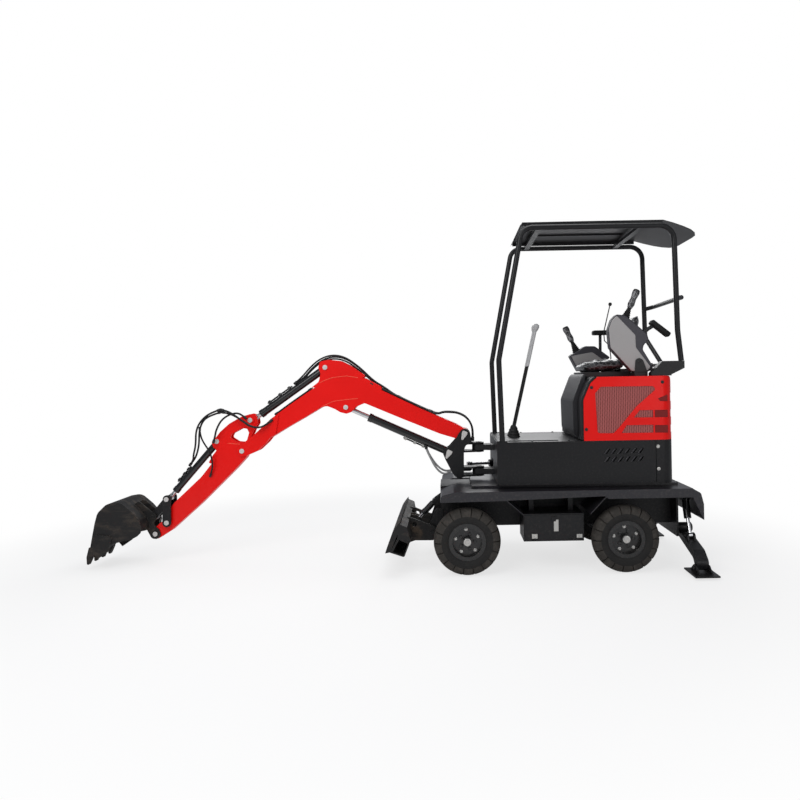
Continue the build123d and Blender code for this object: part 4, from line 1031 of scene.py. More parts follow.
@dataclass
class Hoses(Assembly):
    """The hoses along the boom, over its joints and round the swing post. Places are from the slew axis."""

    thin: float = 0.0075
    middling: float = 0.008
    thick: float = 0.009
    side: float = 0.007

    def build(self) -> None:
        """Makes every hose."""
        for group in (self._over_peak, self._on_boom, self._under_boom, self._round_arm, self._fore):
            for hose in group():
                hose.build(self.look)

    def _lying(self, y: float, stations: Sequence[float], lift: float = 0.011) -> tuple[Point, ...]:
        """A route along the boom's top, a little above its plate."""
        tops = ((x, touch("boom", at(x, y, ABOVE), -UP)) for x in stations)
        return tuple((x, y, top.z + lift) for x, top in tops if top is not None)

    def _over_peak(self) -> Iterable[Hose]:
        """The hoses from the arm's cylinder over the boom's peak."""
        for number, (y, drop) in enumerate(((-0.03, 0.0), (0.0, 0.03), (0.03, 0.012))):
            over = (
                (-2.229, y, 1.556), (-2.167, y, 1.606 - drop), (-2.078, y, 1.709 - drop),
                (-1.990, y, 1.777 - drop), (-1.885, y, 1.806 - drop), (-1.772, y, 1.782 - drop),
                (-1.643, y, 1.684 - drop), (-1.541, y, 1.578 - drop / 2), (-1.44, y, 1.511),
            )
            landing = self._lying(y, (-1.36, -1.3))
            yield Hose(f"hose_over_peak_{number}", over + landing, ("arm_barrel", "boom"), self.thin)

    def _on_boom(self) -> Iterable[Hose]:
        """The bundle along the boom's top and its loop to the swing post."""
        for number, y in enumerate((-0.042, -0.022, 0.0, 0.022, 0.042)):
            along = self._lying(y, (-1.56, -1.45, -1.3, -1.15, -0.99))
            yield Hose(f"hose_boom_top_{number}", along, ("boom",), self.middling)
            loop = (
                (-0.93, y, 1.285), (-0.87, y, 1.282 + 0.1 * abs(y)), (-0.797, y, 1.277), (-0.725, y, 1.24),
                (-0.677, y, 1.17), (-0.668, y, 1.09), (-0.672, y, 1.03),
            )
            foot = self._lying(y, (-1.05, -0.98)) + loop
            yield Hose(f"hose_foot_{number}", foot, ("boom", "swing_post"), self.thick)

    def _under_boom(self) -> Iterable[Hose]:
        """The pale loops from the boom's cylinder to the swing post."""
        for number, y in enumerate((-0.026, 0.026)):
            under = (
                (-1.089, y, 0.993), (-1.075, y, 0.95), (-1.056, y, 0.907), (-0.997, y, 0.801 + 0.5 * y),
                (-0.929, y, 0.748 + 0.5 * y), (-0.867, y, 0.764), (-0.815, y * 0.8, 0.80),
                (-0.79, y * 0.8, 0.845),
            )
            yield Hose(f"hose_under_boom_{number}", under, ("boom_barrel", "swing_post"), self.thick, True)

    def _round_arm(self) -> Iterable[Hose]:
        """The loops from the bucket's cylinder past the arm's pin, and those on the arm itself."""
        for number, (y, out) in enumerate(((-0.1, 0.0), (-0.12, 0.022))):
            first = (
                (-3.156, y * 0.35, 0.858), (-3.11, y * 0.6, 0.905), (-3.076 - out, y * 0.9, 0.952),
                (-3.049 - out, y, 1.039), (-3.046 - out, y, 1.169), (-3.010 - out / 2, y, 1.256),
                (-2.939, y, 1.298 + out), (-2.852, y, 1.323 + out),
            )
            second = (
                (-2.852, y, 1.323 + out), (-2.80, y, 1.312 + out), (-2.739, y, 1.290 + out / 2),
                (-2.66, y, 1.238), (-2.60, y, 1.195), (-2.53, y, 1.180), (-2.47, y * 0.9, 1.2),
                (-2.418, y * 0.6, 1.245),
            )
            yield Hose(f"hose_arm_front_{number}", first, ("bucket_barrel", "arm"), self.middling)
            yield Hose(f"hose_arm_rear_{number}", second, ("arm", "boom"), self.middling)
        lugs = (
            (-2.93, -0.088, 1.055), (-2.91, -0.1, 1.11), (-2.898, -0.105, 1.167), (-2.853, -0.105, 1.253),
            (-2.782, -0.105, 1.3), (-2.71, -0.105, 1.315), (-2.66, -0.1, 1.285), (-2.64, -0.088, 1.26),
        )
        yield Hose("hose_arm_ears", lugs, ("arm",), self.middling)
        down = (
            (-3.042, -0.1, 1.194), (-3.038, -0.1, 1.127), (-3.011, -0.1, 1.06), (-2.954, -0.098, 0.976),
            (-2.936, -0.092, 0.876), (-2.955, -0.07, 0.8), (-2.974, -0.055, 0.76),
        )
        yield Hose("hose_arm_side", down, ("arm",), self.side)

    def _fore(self) -> Iterable[Hose]:
        """The pair along the boom's front part."""
        for number, y in enumerate((-0.03, 0.03)):
            along = self._lying(y, (-2.4, -2.32, -2.24, -2.15, -2.08))
            yield Hose(f"hose_boom_fore_{number}", along, ("boom",), self.middling)


@dataclass
class Ironwork(Assembly):
    """Pipes with their clamps along the cylinders, and weld beads on the boom and the arm."""

    pipe: float = 0.006
    pipe_aside: float = 0.012
    clamp: float = 0.019
    clamp_half: float = 0.011
    bead: float = 0.003
    pipes: tuple[tuple[str, str, Point, tuple[float, float], float, float], ...] = (
        # barrel, its joint, direction of its axis, the pipe's ends, its distance from the axis, its side
        ("arm_barrel", "arm_barrel_tilt", (-0.822, 0.0, -0.57), (0.34, 0.6), 0.042, 1.0),
        ("boom_barrel", "boom_barrel_tilt", (-0.91, 0.0, 0.414), (0.2, 0.42), 0.044, -1.0),
        ("bucket_barrel", "bucket_barrel_tilt", (-0.663, 0.0, -0.748), (0.33, 0.5), 0.038, 1.0),
    )
    beads: tuple[tuple[str, Flat], ...] = (
        # body, points of the bead in x and z
        ("boom", ((-2.001, 1.561), (-1.95, 1.585), (-1.883, 1.606), (-1.765, 1.617), (-1.666, 1.6))),
        ("boom", ((-1.988, 1.352), (-1.887, 1.397), (-1.769, 1.411), (-1.669, 1.418))),
        ("arm", ((-2.818, 1.047), (-2.709, 1.036), (-2.583, 1.084))),
    )

    def build(self) -> None:
        """Makes the pipes, clamps and beads."""
        for barrel, joint, heading, ends, offset, way in self.pipes:
            self._pipes(barrel, Vector(JOINT_POS[joint]), Vector(heading), ends, offset, way)
        for number, (body, places) in enumerate(self.beads):
            form = Form()
            for side in Side:
                points = (beside(body, x, z, side) for x, z in places)
                met = [point for point in points if point is not None]
                if len(met) > 1:
                    form.tube(met, self.bead, 8)
            if form.bm.verts:
                form.finish(f"weld_{number}", body, self.look.weld)

    def _pipes(
        self, barrel: str, base: Vector, along: Vector, ends: tuple[float, float], offset: float, way: float
    ) -> None:
        """The two pipes of one barrel with their three clamps.

        Args:
            barrel: The barrel's name.
            base: The pin that the barrel hangs on.
            along: The way from there along the barrel.
            ends: The pipes' ends, as distances from the pin.
            offset: The pipes' distance from the barrel's axis.
            way: 1 for pipes on the barrel's upper side, -1 for the lower side.
        """
        start, end = ends
        across = Vector((along.z, 0, -along.x)) * way
        pipes, clamps = Form(), Form()
        for y in (-self.pipe_aside, self.pipe_aside):
            shift = across * offset + Vector((0, y, 0))
            pipes.tube([base + along * start + shift, base + along * end + shift], self.pipe, 10)
        for place in (start + 0.03, (start + end) / 2, end - 0.02):
            middle = base + along * place + across * (offset - 0.003)
            clamps.tube([middle - along * self.clamp_half, middle + along * self.clamp_half], self.clamp, 8)
        pipes.finish(f"{barrel}_pipes", barrel, self.look.barrel)
        finish = self.look.zinc if barrel == "boom_barrel" else self.look.barrel
        clamps.finish(f"{barrel}_clamps", barrel, finish, bevel=0.001)


@dataclass
class Gussets(Assembly):
    """The plates that carry on the boom's top behind its peak and the arm's top behind its lug."""

    corner: float = 0.015
    bevel: float = 0.002
    plates: tuple[tuple[str, float, Flat], ...] = (
        # body, half width, outline
        ("boom", 0.052, (
            (-1.67, 1.585), (-1.655, 1.613), (-1.6, 1.592), (-1.53, 1.556), (-1.46, 1.517), (-1.46, 1.48),
            (-1.67, 1.53),
        )),
        ("arm", 0.042, (
            (-2.87, 1.03), (-2.918, 0.985), (-2.95, 0.946), (-2.974, 0.906), (-2.992, 0.878), (-2.94, 0.86),
            (-2.85, 0.95),
        )),
    )

    def build(self) -> None:
        """Makes the plates."""
        for body, half_width, outline in self.plates:
            plate = Form().slab(rounded(outline, self.corner), -half_width, half_width)
            plate.finish(f"{body}_gusset", body, self.look.red, self.bevel)


@dataclass
class Hood(Assembly):
    """The cowl's slots with dark red plates in them as painted shade, its dark screws, the trim round its
    front, and the panels' louvres and bolts.
    """

    half_width: float = 0.5
    ray_reach: float = 0.004
    screw: tuple[float, float] = (0.016, 0.006)  # across flats, height
    bolt: tuple[float, float] = (0.017, 0.007)
    trim_inset: float = 0.002
    trim_corner: float = 0.03
    # how far the dark red plates sit inside the cowl's side: painted shade in the slot recesses
    shade_plate_depth: tuple[float, float] = (-0.003, -0.0022)
    louvre_stand: tuple[float, float] = (-0.001, 0.006)
    first_louvre: tuple[float, float] = (0.384, 0.88)
    louvre_pitch: tuple[float, float] = (0.054, 0.066)
    louvre_rows: int = 2
    louvre_columns: int = 6
    louvre: Flat = ((-0.012, -0.002), (0.002, -0.002), (0.036, 0.042), (0.022, 0.042))
    screws: Flat = ((0.284, 1.485), (0.236, 1.145), (0.86, 1.52))
    bolts: Flat = ((0.816, 0.998), (0.818, 0.816))
    # outlines of the cowl's slot recesses, filled with dark red plates as painted shade
    recesses: tuple[Flat, ...] = (
        ((0.823, 1.3885), (0.9, 1.4165), (0.9, 1.3645), (0.838, 1.366)),
        ((0.795, 1.293), (0.9, 1.293), (0.9, 1.235), (0.795, 1.235)),
        ((0.795, 1.171), (0.9, 1.169), (0.9, 1.109), (0.795, 1.111)),
    )
    front: Flat = (
        (0.217, 1.056), (0.217, 1.384), (0.278, 1.522), (0.332, 1.571), (0.305, 1.574), (0.262, 1.532),
        (0.199, 1.39), (0.199, 1.056),
    )

    def build(self) -> None:
        """Makes the pieces."""
        shade_plates, hoods, screws, bolts = Form(), Form(), Form(), Form()
        for side in Side:
            for outline in self.recesses:
                shade_plates.slab(outline, *side.span(*(self.half_width + depth for depth in self.shade_plate_depth)))
            for x, z in self.screws:
                screws.hex_bolt(outermost(x, z, side, self.ray_reach), side.outward, *self.screw)
            for x, z in self.bolts:
                bolts.hex_bolt(outermost(x, z, side, self.ray_reach), side.outward, *self.bolt)
            self._louvres(hoods, side)
        # dark red plates in the slot recesses: painted shade
        shade_plates.finish("slot_recesses", "upper", self.look.recess)
        reach = self.half_width - self.trim_inset
        trim = Form().slab(rounded(self.front, self.trim_corner), -reach, reach)
        trim.finish("cowl_front", "upper", self.look.black, bevel=0.004)
        screws.finish("cowl_screws", "upper", self.look.trim)
        bolts.finish("panel_bolts", "upper", self.look.zinc)
        # the louvre hoods wear the deck paint with its painted sheen
        hoods.finish("louvre_hoods", "upper", self.look.deck, bevel=0.002)

    def _louvres(self, form: Form, side: Side) -> None:
        """Adds the louvres of one side.

        Args:
            form: The form that they go into.
            side: The side of the machine.
        """
        for row in range(self.louvre_rows):
            for column in range(self.louvre_columns):
                x = self.first_louvre[0] + column * self.louvre_pitch[0]
                z = self.first_louvre[1] + row * self.louvre_pitch[1]
                outline = [(x + aside, z + up) for aside, up in self.louvre]
                form.slab(outline, *side.span(*(self.half_width + stand for stand in self.louvre_stand)))


@dataclass
class Roof(Assembly):
    """The canopy's roof: a shallow pan on the loops, bent down and bowed at its rear, with ribs below."""

    half_width: float = 0.448
    sheet: float = 0.006
    skirt: tuple[tuple[float, float], tuple[float, float]] = ((-0.25, 2.816), (0.9, 2.846))
    rib: Flat = ((-0.1, 2.829), (-0.07, 2.8424), (0.67, 2.8424), (0.7, 2.829))
    rib_corner: float = 0.01
    rib_from: float = 0.06
    rib_width: float = 0.17
    stations: tuple[tuple[float, float, float], ...] = (
        # x, top z, share of the half width
        (-0.268, 2.819, 1.0), (-0.246, 2.846, 1.0), (0.3, 2.848, 1.0), (0.905, 2.848, 1.0),
        (0.985, 2.825, 1.0), (1.08, 2.797, 0.955), (1.15, 2.777, 0.88), (1.2, 2.762, 0.76),
        (1.228, 2.754, 0.6), (1.235, 2.752, 0.4),
    )

    def build(self) -> None:
        """Makes the roof."""
        form = Form()
        rows = []
        for x, z, share in self.stations:
            reach = self.half_width * share
            spots = [(-reach, z), (reach, z), (reach, z - self.sheet), (-reach, z - self.sheet)]
            rows.append([form.bm.verts.new(at(x, y, height)) for y, height in spots])
        form.skin(rows)
        (x_low, z_low), (x_high, z_high) = self.skirt
        for side in Side:
            low, high = side.span(self.half_width, self.half_width - self.sheet)
            form.block((x_low, low, z_low), (x_high, high, z_high))
            rib = rounded(self.rib, self.rib_corner)
            form.slab(rib, *side.span(self.rib_from, self.rib_from + self.rib_width))
        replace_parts(form.finish("roof_pan", "upper", self.look.black, bevel=0.003), "roof")


@dataclass
class Seat(Assembly):
    """The seat's pressed-steel base, and its cushion and back in clear wrapping."""

    cushion: tuple[Point, Point] = ((0.455, 0.0, 1.665), (0.185, 0.22, 0.05))
    cushion_rise: float = 0.012
    cushion_crumple: float = 0.014
    back_crumple: float = 0.016
    foot: Point = (0.665, 0.0, 1.735)
    head: Point = (0.752, 0.0, 2.09)
    back_half_width: float = 0.215
    back_half_depth: float = 0.04
    base_half_width: float = 0.317
    base_corner: float = 0.02
    front: Flat = (
        (0.200, 1.052), (0.165, 1.112), (0.160, 1.370), (0.215, 1.508), (0.243, 1.578), (0.272, 1.604),
        (0.272, 1.520), (0.213, 1.386), (0.213, 1.052),
    )
    plinth: tuple[tuple[Point, Point], ...] = (
        # lowest and highest corner: middle, right and left block
        ((0.268, -0.215, 1.569), (0.7, 0.215, 1.612)),
        ((0.66, 0.3, 1.569), (0.8, 0.4, 1.64)),
        ((0.66, -0.408, 1.569), (0.77, -0.272, 1.608)),
    )
    ear: Flat = ((0.662, 1.6), (0.67, 1.706), (0.70, 1.722), (0.732, 1.706), (0.768, 1.6))
    ear_corner: float = 0.012
    ear_thickness: float = 0.0077
    ears_from: tuple[float, float] = (-0.408, -0.2797)
    pin: tuple[Point, Point] = ((0.7, -0.41, 1.69), (0.7, -0.27, 1.69))
    pin_radius: float = 0.01

    def build(self) -> None:
        """Makes the base, the cushion and the back."""
        self._base()
        middle, (length, width, depth) = self.cushion
        cushion = Form().pillow(
            at(*middle), Vector((length, 0, self.cushion_rise)), Vector((0, width, 0)), Vector((0, 0, depth)),
            self.cushion_crumple,
        )
        self._pad(cushion, "seat_cushion", self.look.film)
        foot, head = at(*self.foot), at(*self.head)
        up = (head - foot) / 2
        forward = Vector((-up.z, 0, up.x)).normalized() * self.back_half_depth
        width = Vector((0, self.back_half_width, 0))
        back = Form().pillow((foot + head) / 2, up, width, forward, self.back_crumple)
        self._pad(back, "seat_back", self.look.wrap)

    def _pad(self, form: Form, name: str, material: bpy.types.Material) -> None:
        """Finishes one padded piece.

        Args:
            form: Its shape.
            name: The piece's name.
            material: Its finish.
        """
        piece = form.finish(name, "upper", material, smooth_angle=80)
        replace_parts(piece, "seat")

    def _base(self) -> None:
        """The base under the seat, with the brackets that the left console tilts on."""
        outline = rounded(self.front, self.base_corner)
        panel = Form().slab(outline, -self.base_half_width, self.base_half_width)
        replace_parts(panel.finish("seat_base_front", "upper", self.look.moulded, bevel=0.006), "seat_base")
        plinth = Form()
        for low, high in self.plinth:
            plinth.block(low, high)
        for low in self.ears_from:
            plinth.slab(rounded(self.ear, self.ear_corner), low, low + self.ear_thickness)
        plinth.tube([at(*place) for place in self.pin], self.pin_radius, 16)
        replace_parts(plinth.finish("seat_plinth", "upper", self.look.trim, bevel=0.003), "seat_base")


@dataclass(frozen=True)
class Plate:
    """One flat moulded piece: its outline, y span, corner radius and bevel."""

    outline: Flat
    span: tuple[float, float]
    corner: float
    bevel: float

    def form(self) -> Form:
        """The piece's shape."""
        return Form().slab(rounded(self.outline, self.corner), *self.span)


@dataclass
class Consoles(Assembly):
    """The two side consoles with their joysticks and armrests."""

    left_y: float = -0.34
    right_y: float = 0.35
    lever_y: float = 0.3
    lever_radius: float = 0.005
    folds: int = 6
    bellows_radius: float = 0.04
    bellows_taper: float = 0.6
    bellows_valley: float = 0.82
    grip_foot: tuple[float, float] = (-0.01, 0.012)
    grip: Flat = (
        # share of the grip's length, radius
        (0.0, 0.016), (0.25, 0.02), (0.5, 0.017), (0.72, 0.021), (0.86, 0.028), (0.97, 0.026), (1.0, 0.016),
    )
    wrapping: Flat = ((0.0, 0.02), (0.2, 0.029), (0.5, 0.024), (0.8, 0.031), (0.9, 0.03))
    left_band: Plate = Plate((
        (0.455, 1.96), (0.485, 2.045), (0.525, 2.085), (0.60, 2.076), (0.735, 1.957), (0.776, 1.921),
        (0.789, 1.871), (0.747, 1.826), (0.738, 1.79), (0.818, 1.655), (0.806, 1.612), (0.64, 1.612),
        (0.466, 1.808),
    ), (-0.392, -0.288), 0.012, 0.012)
    left_face: Plate = Plate((
        (0.524, 2.074), (0.676, 1.911), (0.680, 1.807), (0.798, 1.645), (0.774, 1.614), (0.64, 1.613),
        (0.469, 1.811), (0.457, 1.962), (0.485, 2.038),
    ), (-0.399, -0.389), 0.012, 0.006)
    left_pad: Plate = Plate(
        ((0.806, 2.008), (0.832, 2.04), (0.98, 1.922), (0.956, 1.888)), (-0.385, -0.295), 0.014, 0.01
    )
    left_stick: Flat = ((0.606, 2.05), (0.645, 2.14), (0.712, 2.292))
    left_post: Flat = ((0.755, 1.93), (0.80, 1.965), (0.835, 1.985))
    left_post_radius: float = 0.016
    right_band: Plate = Plate((
        (0.249, 1.767), (0.393, 1.855), (0.484, 1.853), (0.624, 1.747), (0.572, 1.70), (0.324, 1.62),
    ), (0.295, 0.408), 0.014, 0.01)
    right_face: Plate = Plate(
        ((0.262, 1.765), (0.457, 1.798), (0.56, 1.722), (0.33, 1.635)), (0.288, 0.299), 0.012, 0.005
    )
    right_pad: Plate = Plate(
        ((0.473, 1.957), (0.473, 2.0), (0.616, 2.0), (0.616, 1.957)), (0.305, 0.395), 0.014, 0.01
    )
    right_stick: Flat = ((0.322, 1.808), (0.282, 1.9), (0.217, 2.04))
    right_post: Flat = ((0.543, 1.8), (0.545, 1.965))
    right_post_radius: float = 0.014
    pedestal: tuple[Point, Point] = ((0.557, 0.3, 1.571), (0.718, 0.4, 1.69))
    pedestal_front: Plate = Plate(
        ((0.5, 1.62), (0.5, 1.72), (0.6, 1.72), (0.6, 1.62)), (0.31, 0.39), 0.01, 0.003
    )
    lever: Flat = (
        (0.628, 1.69), (0.63, 1.75), (0.617, 1.857), (0.573, 1.903), (0.568, 1.981), (0.631, 2.235),
    )
    knob: Flat = ((-0.014, 0.006), (-0.008, 0.014), (0.006, 0.017), (0.016, 0.012), (0.02, 0.004))

    def build(self) -> None:
        """Makes both consoles."""
        self._left()
        self._right()

    def _part(
        self, form: Form, name: str, node: str, material: bpy.types.Material, bevel: float = 0.0
    ) -> None:
        """Finishes one piece of a console, in the place of its node."""
        body = "console_left" if node == "console_left" else "upper"
        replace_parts(form.finish(name, body, material, bevel), node)

    def _joystick(self, name: str, node: str, y: float, places: Flat) -> None:
        """One joystick: bellows, grip and the grip's wrapping.

        Args:
            name: The joystick's name.
            node: The console that it belongs to.
            y: The joystick's y.
            places: The foot, the start of the grip and its top, in x and z.
        """
        foot, neck, top = (at(x, y, z) for x, z in places)
        height = (neck - foot).length
        profile = []
        for step in range(2 * self.folds + 1):
            share = step / (2 * self.folds)
            fold = 1.0 if step % 2 else self.bellows_valley
            profile.append((height * share, self.bellows_radius * (1 - self.bellows_taper * share) * fold))
        self._part(Form().lathe(profile, foot, neck - foot, 28), f"{name}_bellows", node, self.look.boot)
        length = (top - neck).length
        grip = [self.grip_foot] + [(length * share, radius) for share, radius in self.grip]
        self._part(Form().lathe(grip, neck, top - neck, 24), f"{name}_grip", node, self.look.trim)
        wrapping = [(length * share, radius) for share, radius in self.wrapping]
        self._part(Form().lathe(wrapping, neck, top - neck, 24), f"{name}_wrap", node, self.look.wrap)

    def _left(self) -> None:
        """The left console, on its tilting bracket."""
        node = "console_left"
        band, face, pad = self.left_band, self.left_face, self.left_pad
        self._part(band.form(), "console_left_band", node, self.look.band, band.bevel)
        self._part(face.form(), "console_left_face", node, self.look.console, face.bevel)
        self._joystick("stick_left", node, self.left_y, self.left_stick)
        post = Form().tube([at(x, self.left_y, z) for x, z in self.left_post], self.left_post_radius, 16)
        self._part(post, "armrest_left_post", node, self.look.trim)
        self._part(pad.form(), "armrest_left_pad", node, self.look.boot, pad.bevel)

    def _right(self) -> None:
        """The right console, its pedestal and the travel lever."""
        node = "console_right"
        band, face, pad = self.right_band, self.right_face, self.right_pad
        self._part(band.form(), "console_right_band", node, self.look.band, band.bevel)
        self._part(face.form(), "console_right_face", node, self.look.console, face.bevel)
        self._joystick("stick_right", node, self.right_y, self.right_stick)
        dark = Form().block(*self.pedestal)
        front = self.pedestal_front
        dark.slab(rounded(front.outline, front.corner), *front.span)
        dark.tube([at(x, self.right_y, z) for x, z in self.right_post], self.right_post_radius, 16)
        self._part(dark, "console_right_pedestal", node, self.look.trim, front.bevel)
        self._part(pad.form(), "armrest_right_pad", node, self.look.boot, pad.bevel)
        route = [at(x, self.lever_y, z) for x, z in self.lever]
        self._part(Form().tube(route, self.lever_radius, 12), "travel_rod", node, self.look.trim)
        knob = Form().lathe(self.knob, route[-1], route[-1] - route[-2], 20)
        self._part(knob, "travel_knob", node, self.look.trim)


@dataclass
class Levers(Assembly):
    """The travel levers with boots, pale rods and knobs."""

    offsets: tuple[float, ...] = (-0.07, 0.07)
    places: Flat = ((-0.31, 1.05), (-0.305, 1.12), (-0.305, 1.15), (-0.1, 2.02))
    sleeve_radius: float = 0.009
    sleeve_shares: tuple[float, ...] = (0.3, 0.62)
    rod_radius: float = 0.0115
    rod_shares: tuple[float, ...] = (0.6, 0.8, 0.97)
    boot: Flat = (
        (0, 0.05), (0.015, 0.05), (0.025, 0.043), (0.035, 0.046), (0.05, 0.036), (0.06, 0.038),
        (0.075, 0.026), (0.085, 0.027), (0.105, 0.014),
    )
    knob: Flat = ((-0.045, 0.012), (-0.03, 0.02), (-0.005, 0.026), (0.014, 0.022), (0.022, 0.008))

    def build(self) -> None:
        """Makes the levers."""
        boots, rods, knobs = Form(), Form(), Form()
        for y in self.offsets:
            foot, collar, neck, top = (at(x, y, z) for x, z in self.places)
            boots.lathe(self.boot, foot, neck - foot, 28)
            sleeve = [collar, neck, *(neck.lerp(top, share) for share in self.sleeve_shares)]
            boots.tube(sleeve, self.sleeve_radius, 16)
            rods.tube([neck.lerp(top, share) for share in self.rod_shares], self.rod_radius, 16)
            knobs.lathe(self.knob, top, top - neck, 24)
        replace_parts(boots.finish("lever_boots", "upper", self.look.boot), "levers")
        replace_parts(rods.finish("lever_rods", "upper", self.look.pale), "levers")
        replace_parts(knobs.finish("lever_knobs", "upper", self.look.pale), "levers")


@dataclass
class Fittings(Assembly):
    """Hinges and latches of the toolboxes, and the bolts of the blade, the roof and the floor."""

    leaf: float = 0.004
    ray_reach: float = 0.004
    hinge_bolt: tuple[float, float] = (0.009, 0.004)  # across flats, height
    blade_bolt: tuple[float, float] = (0.02, 0.009)
    roof_screw: tuple[float, float] = (0.01, 0.005)
    floor_bolt: tuple[float, float] = (0.014, 0.006)
    leaves: tuple[tuple[float, float, float, float], ...] = (
        # x and z of the lower corner, x and z of the upper one
        (-0.224, 0.276, -0.179, 0.312), (0.138, 0.276, 0.183, 0.305), (-0.045, 0.331, -0.008, 0.424),
    )
    hinge_bolts: Flat = ((-0.2015, 0.284), (-0.2015, 0.298), (0.1605, 0.284), (0.1605, 0.298))
    blade_bolts: Flat = ((-1.016, 0.331), (-1.026, 0.255))
    roof_screws: Flat = ((-0.2, 2.832), (0.3, 2.832), (0.8, 2.832))
    roof_side: float = 0.448
    floor_side: float = 0.46
    floor_bolts: tuple[float, ...] = (-0.52, -0.2, 0.1, 0.45, 0.75)

    def build(self) -> None:
        """Makes the pieces."""
        for side, hand in HANDS:
            self._flap(side, hand)
        blade, roof, floor = Form(), Form(), Form()
        for side in Side:
            for x, z in self.blade_bolts:
                seat = beside("blade", x, z, side)
                if seat is not None:
                    blade.hex_bolt(seat, side.outward, *self.blade_bolt)
            for x, z in self.roof_screws:
                roof.hex_bolt(at(x, side.value * self.roof_side, z), side.outward, *self.roof_screw)
            for x in self.floor_bolts:
                seat = touch("floor", at(x, side.value * self.floor_side, ABOVE), -UP)
                if seat is not None:
                    floor.hex_bolt(seat, UP, *self.floor_bolt)
        rows = (
            # form, name, body, finish
            (blade, "blade_bolts", "blade", self.look.pin),
            (roof, "roof_screws", "upper", self.look.trim),
            (floor, "floor_bolts", "upper", self.look.trim),
        )
        for form, name, body, finish in rows:
            if form.bm.verts:
                form.finish(name, body, finish)

    def _flap(self, side: Side, hand: str) -> None:
        """The hinges and the latch of one toolbox's flap.

        Args:
            side: The side of the machine.
            hand: Its name, left or right.
        """
        metal = Form()
        for x_low, z_low, x_high, z_high in self.leaves:
            middle = outermost((x_low + x_high) / 2, (z_low + z_high) / 2, side, 0.01).y
            inner, outer = sorted((middle, middle + side.value * self.leaf))
            metal.block((x_low, inner, z_low), (x_high, outer, z_high))
        for x, z in self.hinge_bolts:
            seat = outermost(x, z, side, self.ray_reach) + side.outward * self.leaf
            metal.hex_bolt(seat, side.outward, *self.hinge_bolt)
        metal.finish(f"flap_metal_{hand}", f"toolbox_flap_{hand}", self.look.zinc, bevel=0.0008)


@dataclass(frozen=True)
class Dresser:
    """Gives every carried-over node its finish."""

    look: Palette

    def finish_of(self, node: str) -> bpy.types.Material:
        """The finish of a node.

        Args:
            node: The node's name.

        Returns:
            Its material.
        """
        look = self.look
        named = {
            "boom": look.red, "arm": look.red, "cowl": look.red, "cowl_grilles": look.grille,
            "bucket": look.dug, "blade": look.blade, "engine_block": look.engine, "axles": look.cast,
            # the seat wears the film with painted glints; the fenders and the slew base wear the deck paint
            # with painted sheen
            "seat": look.film, "seat_base": look.moulded, "levers": look.pale, "fenders": look.deck,
            "slew_base": look.deck, "chassis_frame": look.chassis,
        }
        if node in named:
            return named[node]
        families = (
            # part of the name, finish
            ("console", look.console), ("tyre", look.tyre), ("rim", look.rim), ("knuckle", look.cast),
            ("barrel", look.barrel), ("rod", look.chrome),
        )
        return next((finish for family, finish in families if family in node), look.black)

    def dress(self) -> None:
        """Puts the finish in each node's slot."""
        for node, piece in frame["nodes"].items():
            piece.material_slots[0].material = self.finish_of(node)
            log.info("dressed %s", node)


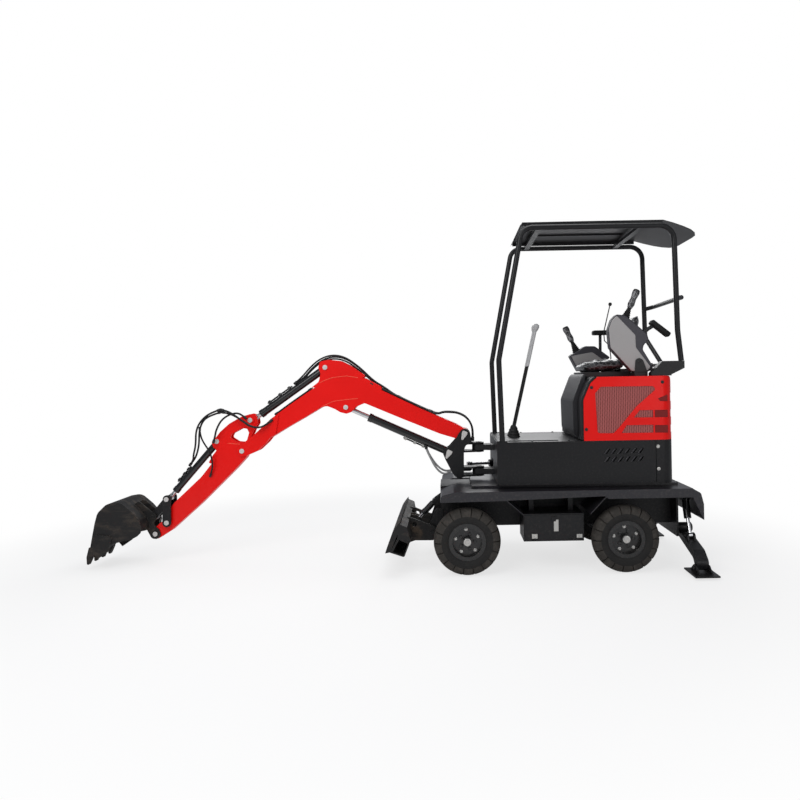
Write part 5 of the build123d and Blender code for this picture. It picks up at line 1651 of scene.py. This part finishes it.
@dataclass
class Studio:
    """The floor, the lamps and the camera."""

    camera_place: Point = (-0.87, -6.21, 1.583)
    focal_pixels: float = 704.0
    frame_pixels: float = 800.0
    centre_u: float = 449.0
    centre_v: float = 378.0
    roll: float = 0.018
    sensor: float = 36.0
    far_clip: float = 200.0
    floor_reach: float = 40.0
    target: Point = (-1.2, 0.0, 1.1)
    sky: tuple[float, float, float, float] = (0.9, 0.93, 1.0, 1)
    sky_power: float = 0.3
    lamps: tuple[tuple[str, Point, float, float], ...] = (
        # name, place, size, power
        ("key", (-3.6, -4.6, 4.6), 3.4, 150.0),
        ("fill", (3.0, -5.2, 2.4), 3.0, 45.0),
        ("top", (-0.6, 0.4, 5.6), 4.0, 130.0),
        ("back", (0.5, 5.0, 3.4), 3.0, 70.0),
    )

    def build(self) -> None:
        """Makes everything round the machine."""
        self._camera()
        self._floor()
        self._light()
        self._world()

    def _floor(self) -> None:
        """The pale floor."""
        mesh = bpy.data.meshes.new("floor_sheet")
        reach = self.floor_reach
        corners = [(-reach, -reach, 0), (reach, -reach, 0), (reach, reach, 0), (-reach, reach, 0)]
        mesh.from_pydata(corners, [], [(0, 1, 2, 3)])
        floor = bpy.data.objects.new("floor_sheet", mesh)
        bpy.context.scene.collection.objects.link(floor)
        mesh.materials.append(Backdrop().build())

    def _light(self) -> None:
        """A large soft key from the upper left, a fill, a top light and one from behind."""
        for name, spot, size, power in self.lamps:
            lamp = bpy.data.lights.new(name, "AREA")
            lamp.size = size
            lamp.energy = power
            holder = bpy.data.objects.new(name, lamp)
            holder.location = place = at(*spot)
            holder.rotation_euler = (at(*self.target) - place).to_track_quat("-Z", "Y").to_euler()
            bpy.context.scene.collection.objects.link(holder)

    def _world(self) -> None:
        """White to the camera, softer as a light."""
        world = bpy.data.worlds.new("studio")
        bpy.context.scene.world = world
        world.use_nodes = True
        nodes, links = world.node_tree.nodes, world.node_tree.links
        nodes.clear()
        kinds = ("LightPath", "Background", "Background", "Math", "MixShader", "OutputWorld")
        path, seen, lit, either, mixed, end = (nodes.new(f"ShaderNode{kind}") for kind in kinds)
        seen.inputs["Color"].default_value = (1, 1, 1, 1)
        lit.inputs["Color"].default_value = self.sky
        lit.inputs["Strength"].default_value = self.sky_power
        either.operation = "MAXIMUM"
        links.new(path.outputs["Is Camera Ray"], either.inputs[0])
        links.new(path.outputs["Is Transmission Ray"], either.inputs[1])
        links.new(either.outputs[0], mixed.inputs[0])
        links.new(lit.outputs[0], mixed.inputs[1])
        links.new(seen.outputs[0], mixed.inputs[2])
        links.new(mixed.outputs[0], end.inputs["Surface"])

    def _camera(self) -> None:
        """The camera, level along +Y with the photo's slight roll."""
        scene = bpy.context.scene
        lens = bpy.data.cameras.new("camera")
        lens.sensor_width = self.sensor
        lens.lens = self.sensor * self.focal_pixels / self.frame_pixels
        middle = self.frame_pixels / 2
        lens.shift_x = (middle - self.centre_u) / self.frame_pixels
        lens.shift_y = (self.centre_v - middle) / self.frame_pixels
        lens.clip_end = self.far_clip
        camera = bpy.data.objects.new("camera", lens)
        stand = Matrix.Translation(at(*self.camera_place))
        camera.matrix_world = stand @ Matrix.Rotation(self.roll, 4, "Y") @ Matrix.Rotation(pi / 2, 4, "X")
        scene.collection.objects.link(camera)
        scene.camera = camera
        scene.view_settings.view_transform = "Standard"


def main() -> None:
    """Builds the studio and dresses the machine."""
    logging.basicConfig(level=logging.INFO, format="%(message)s")
    Studio().build()
    look = Palette()
    Dresser(look).dress()
    for kind in (Hoses, Wheels, PinHeads, Ironwork, Gussets, Hood, Roof, Seat, Consoles, Levers, Fittings):
        log.info("building %s", kind.__name__)
        kind(look).build()


if __name__ == "__main__":
    main()
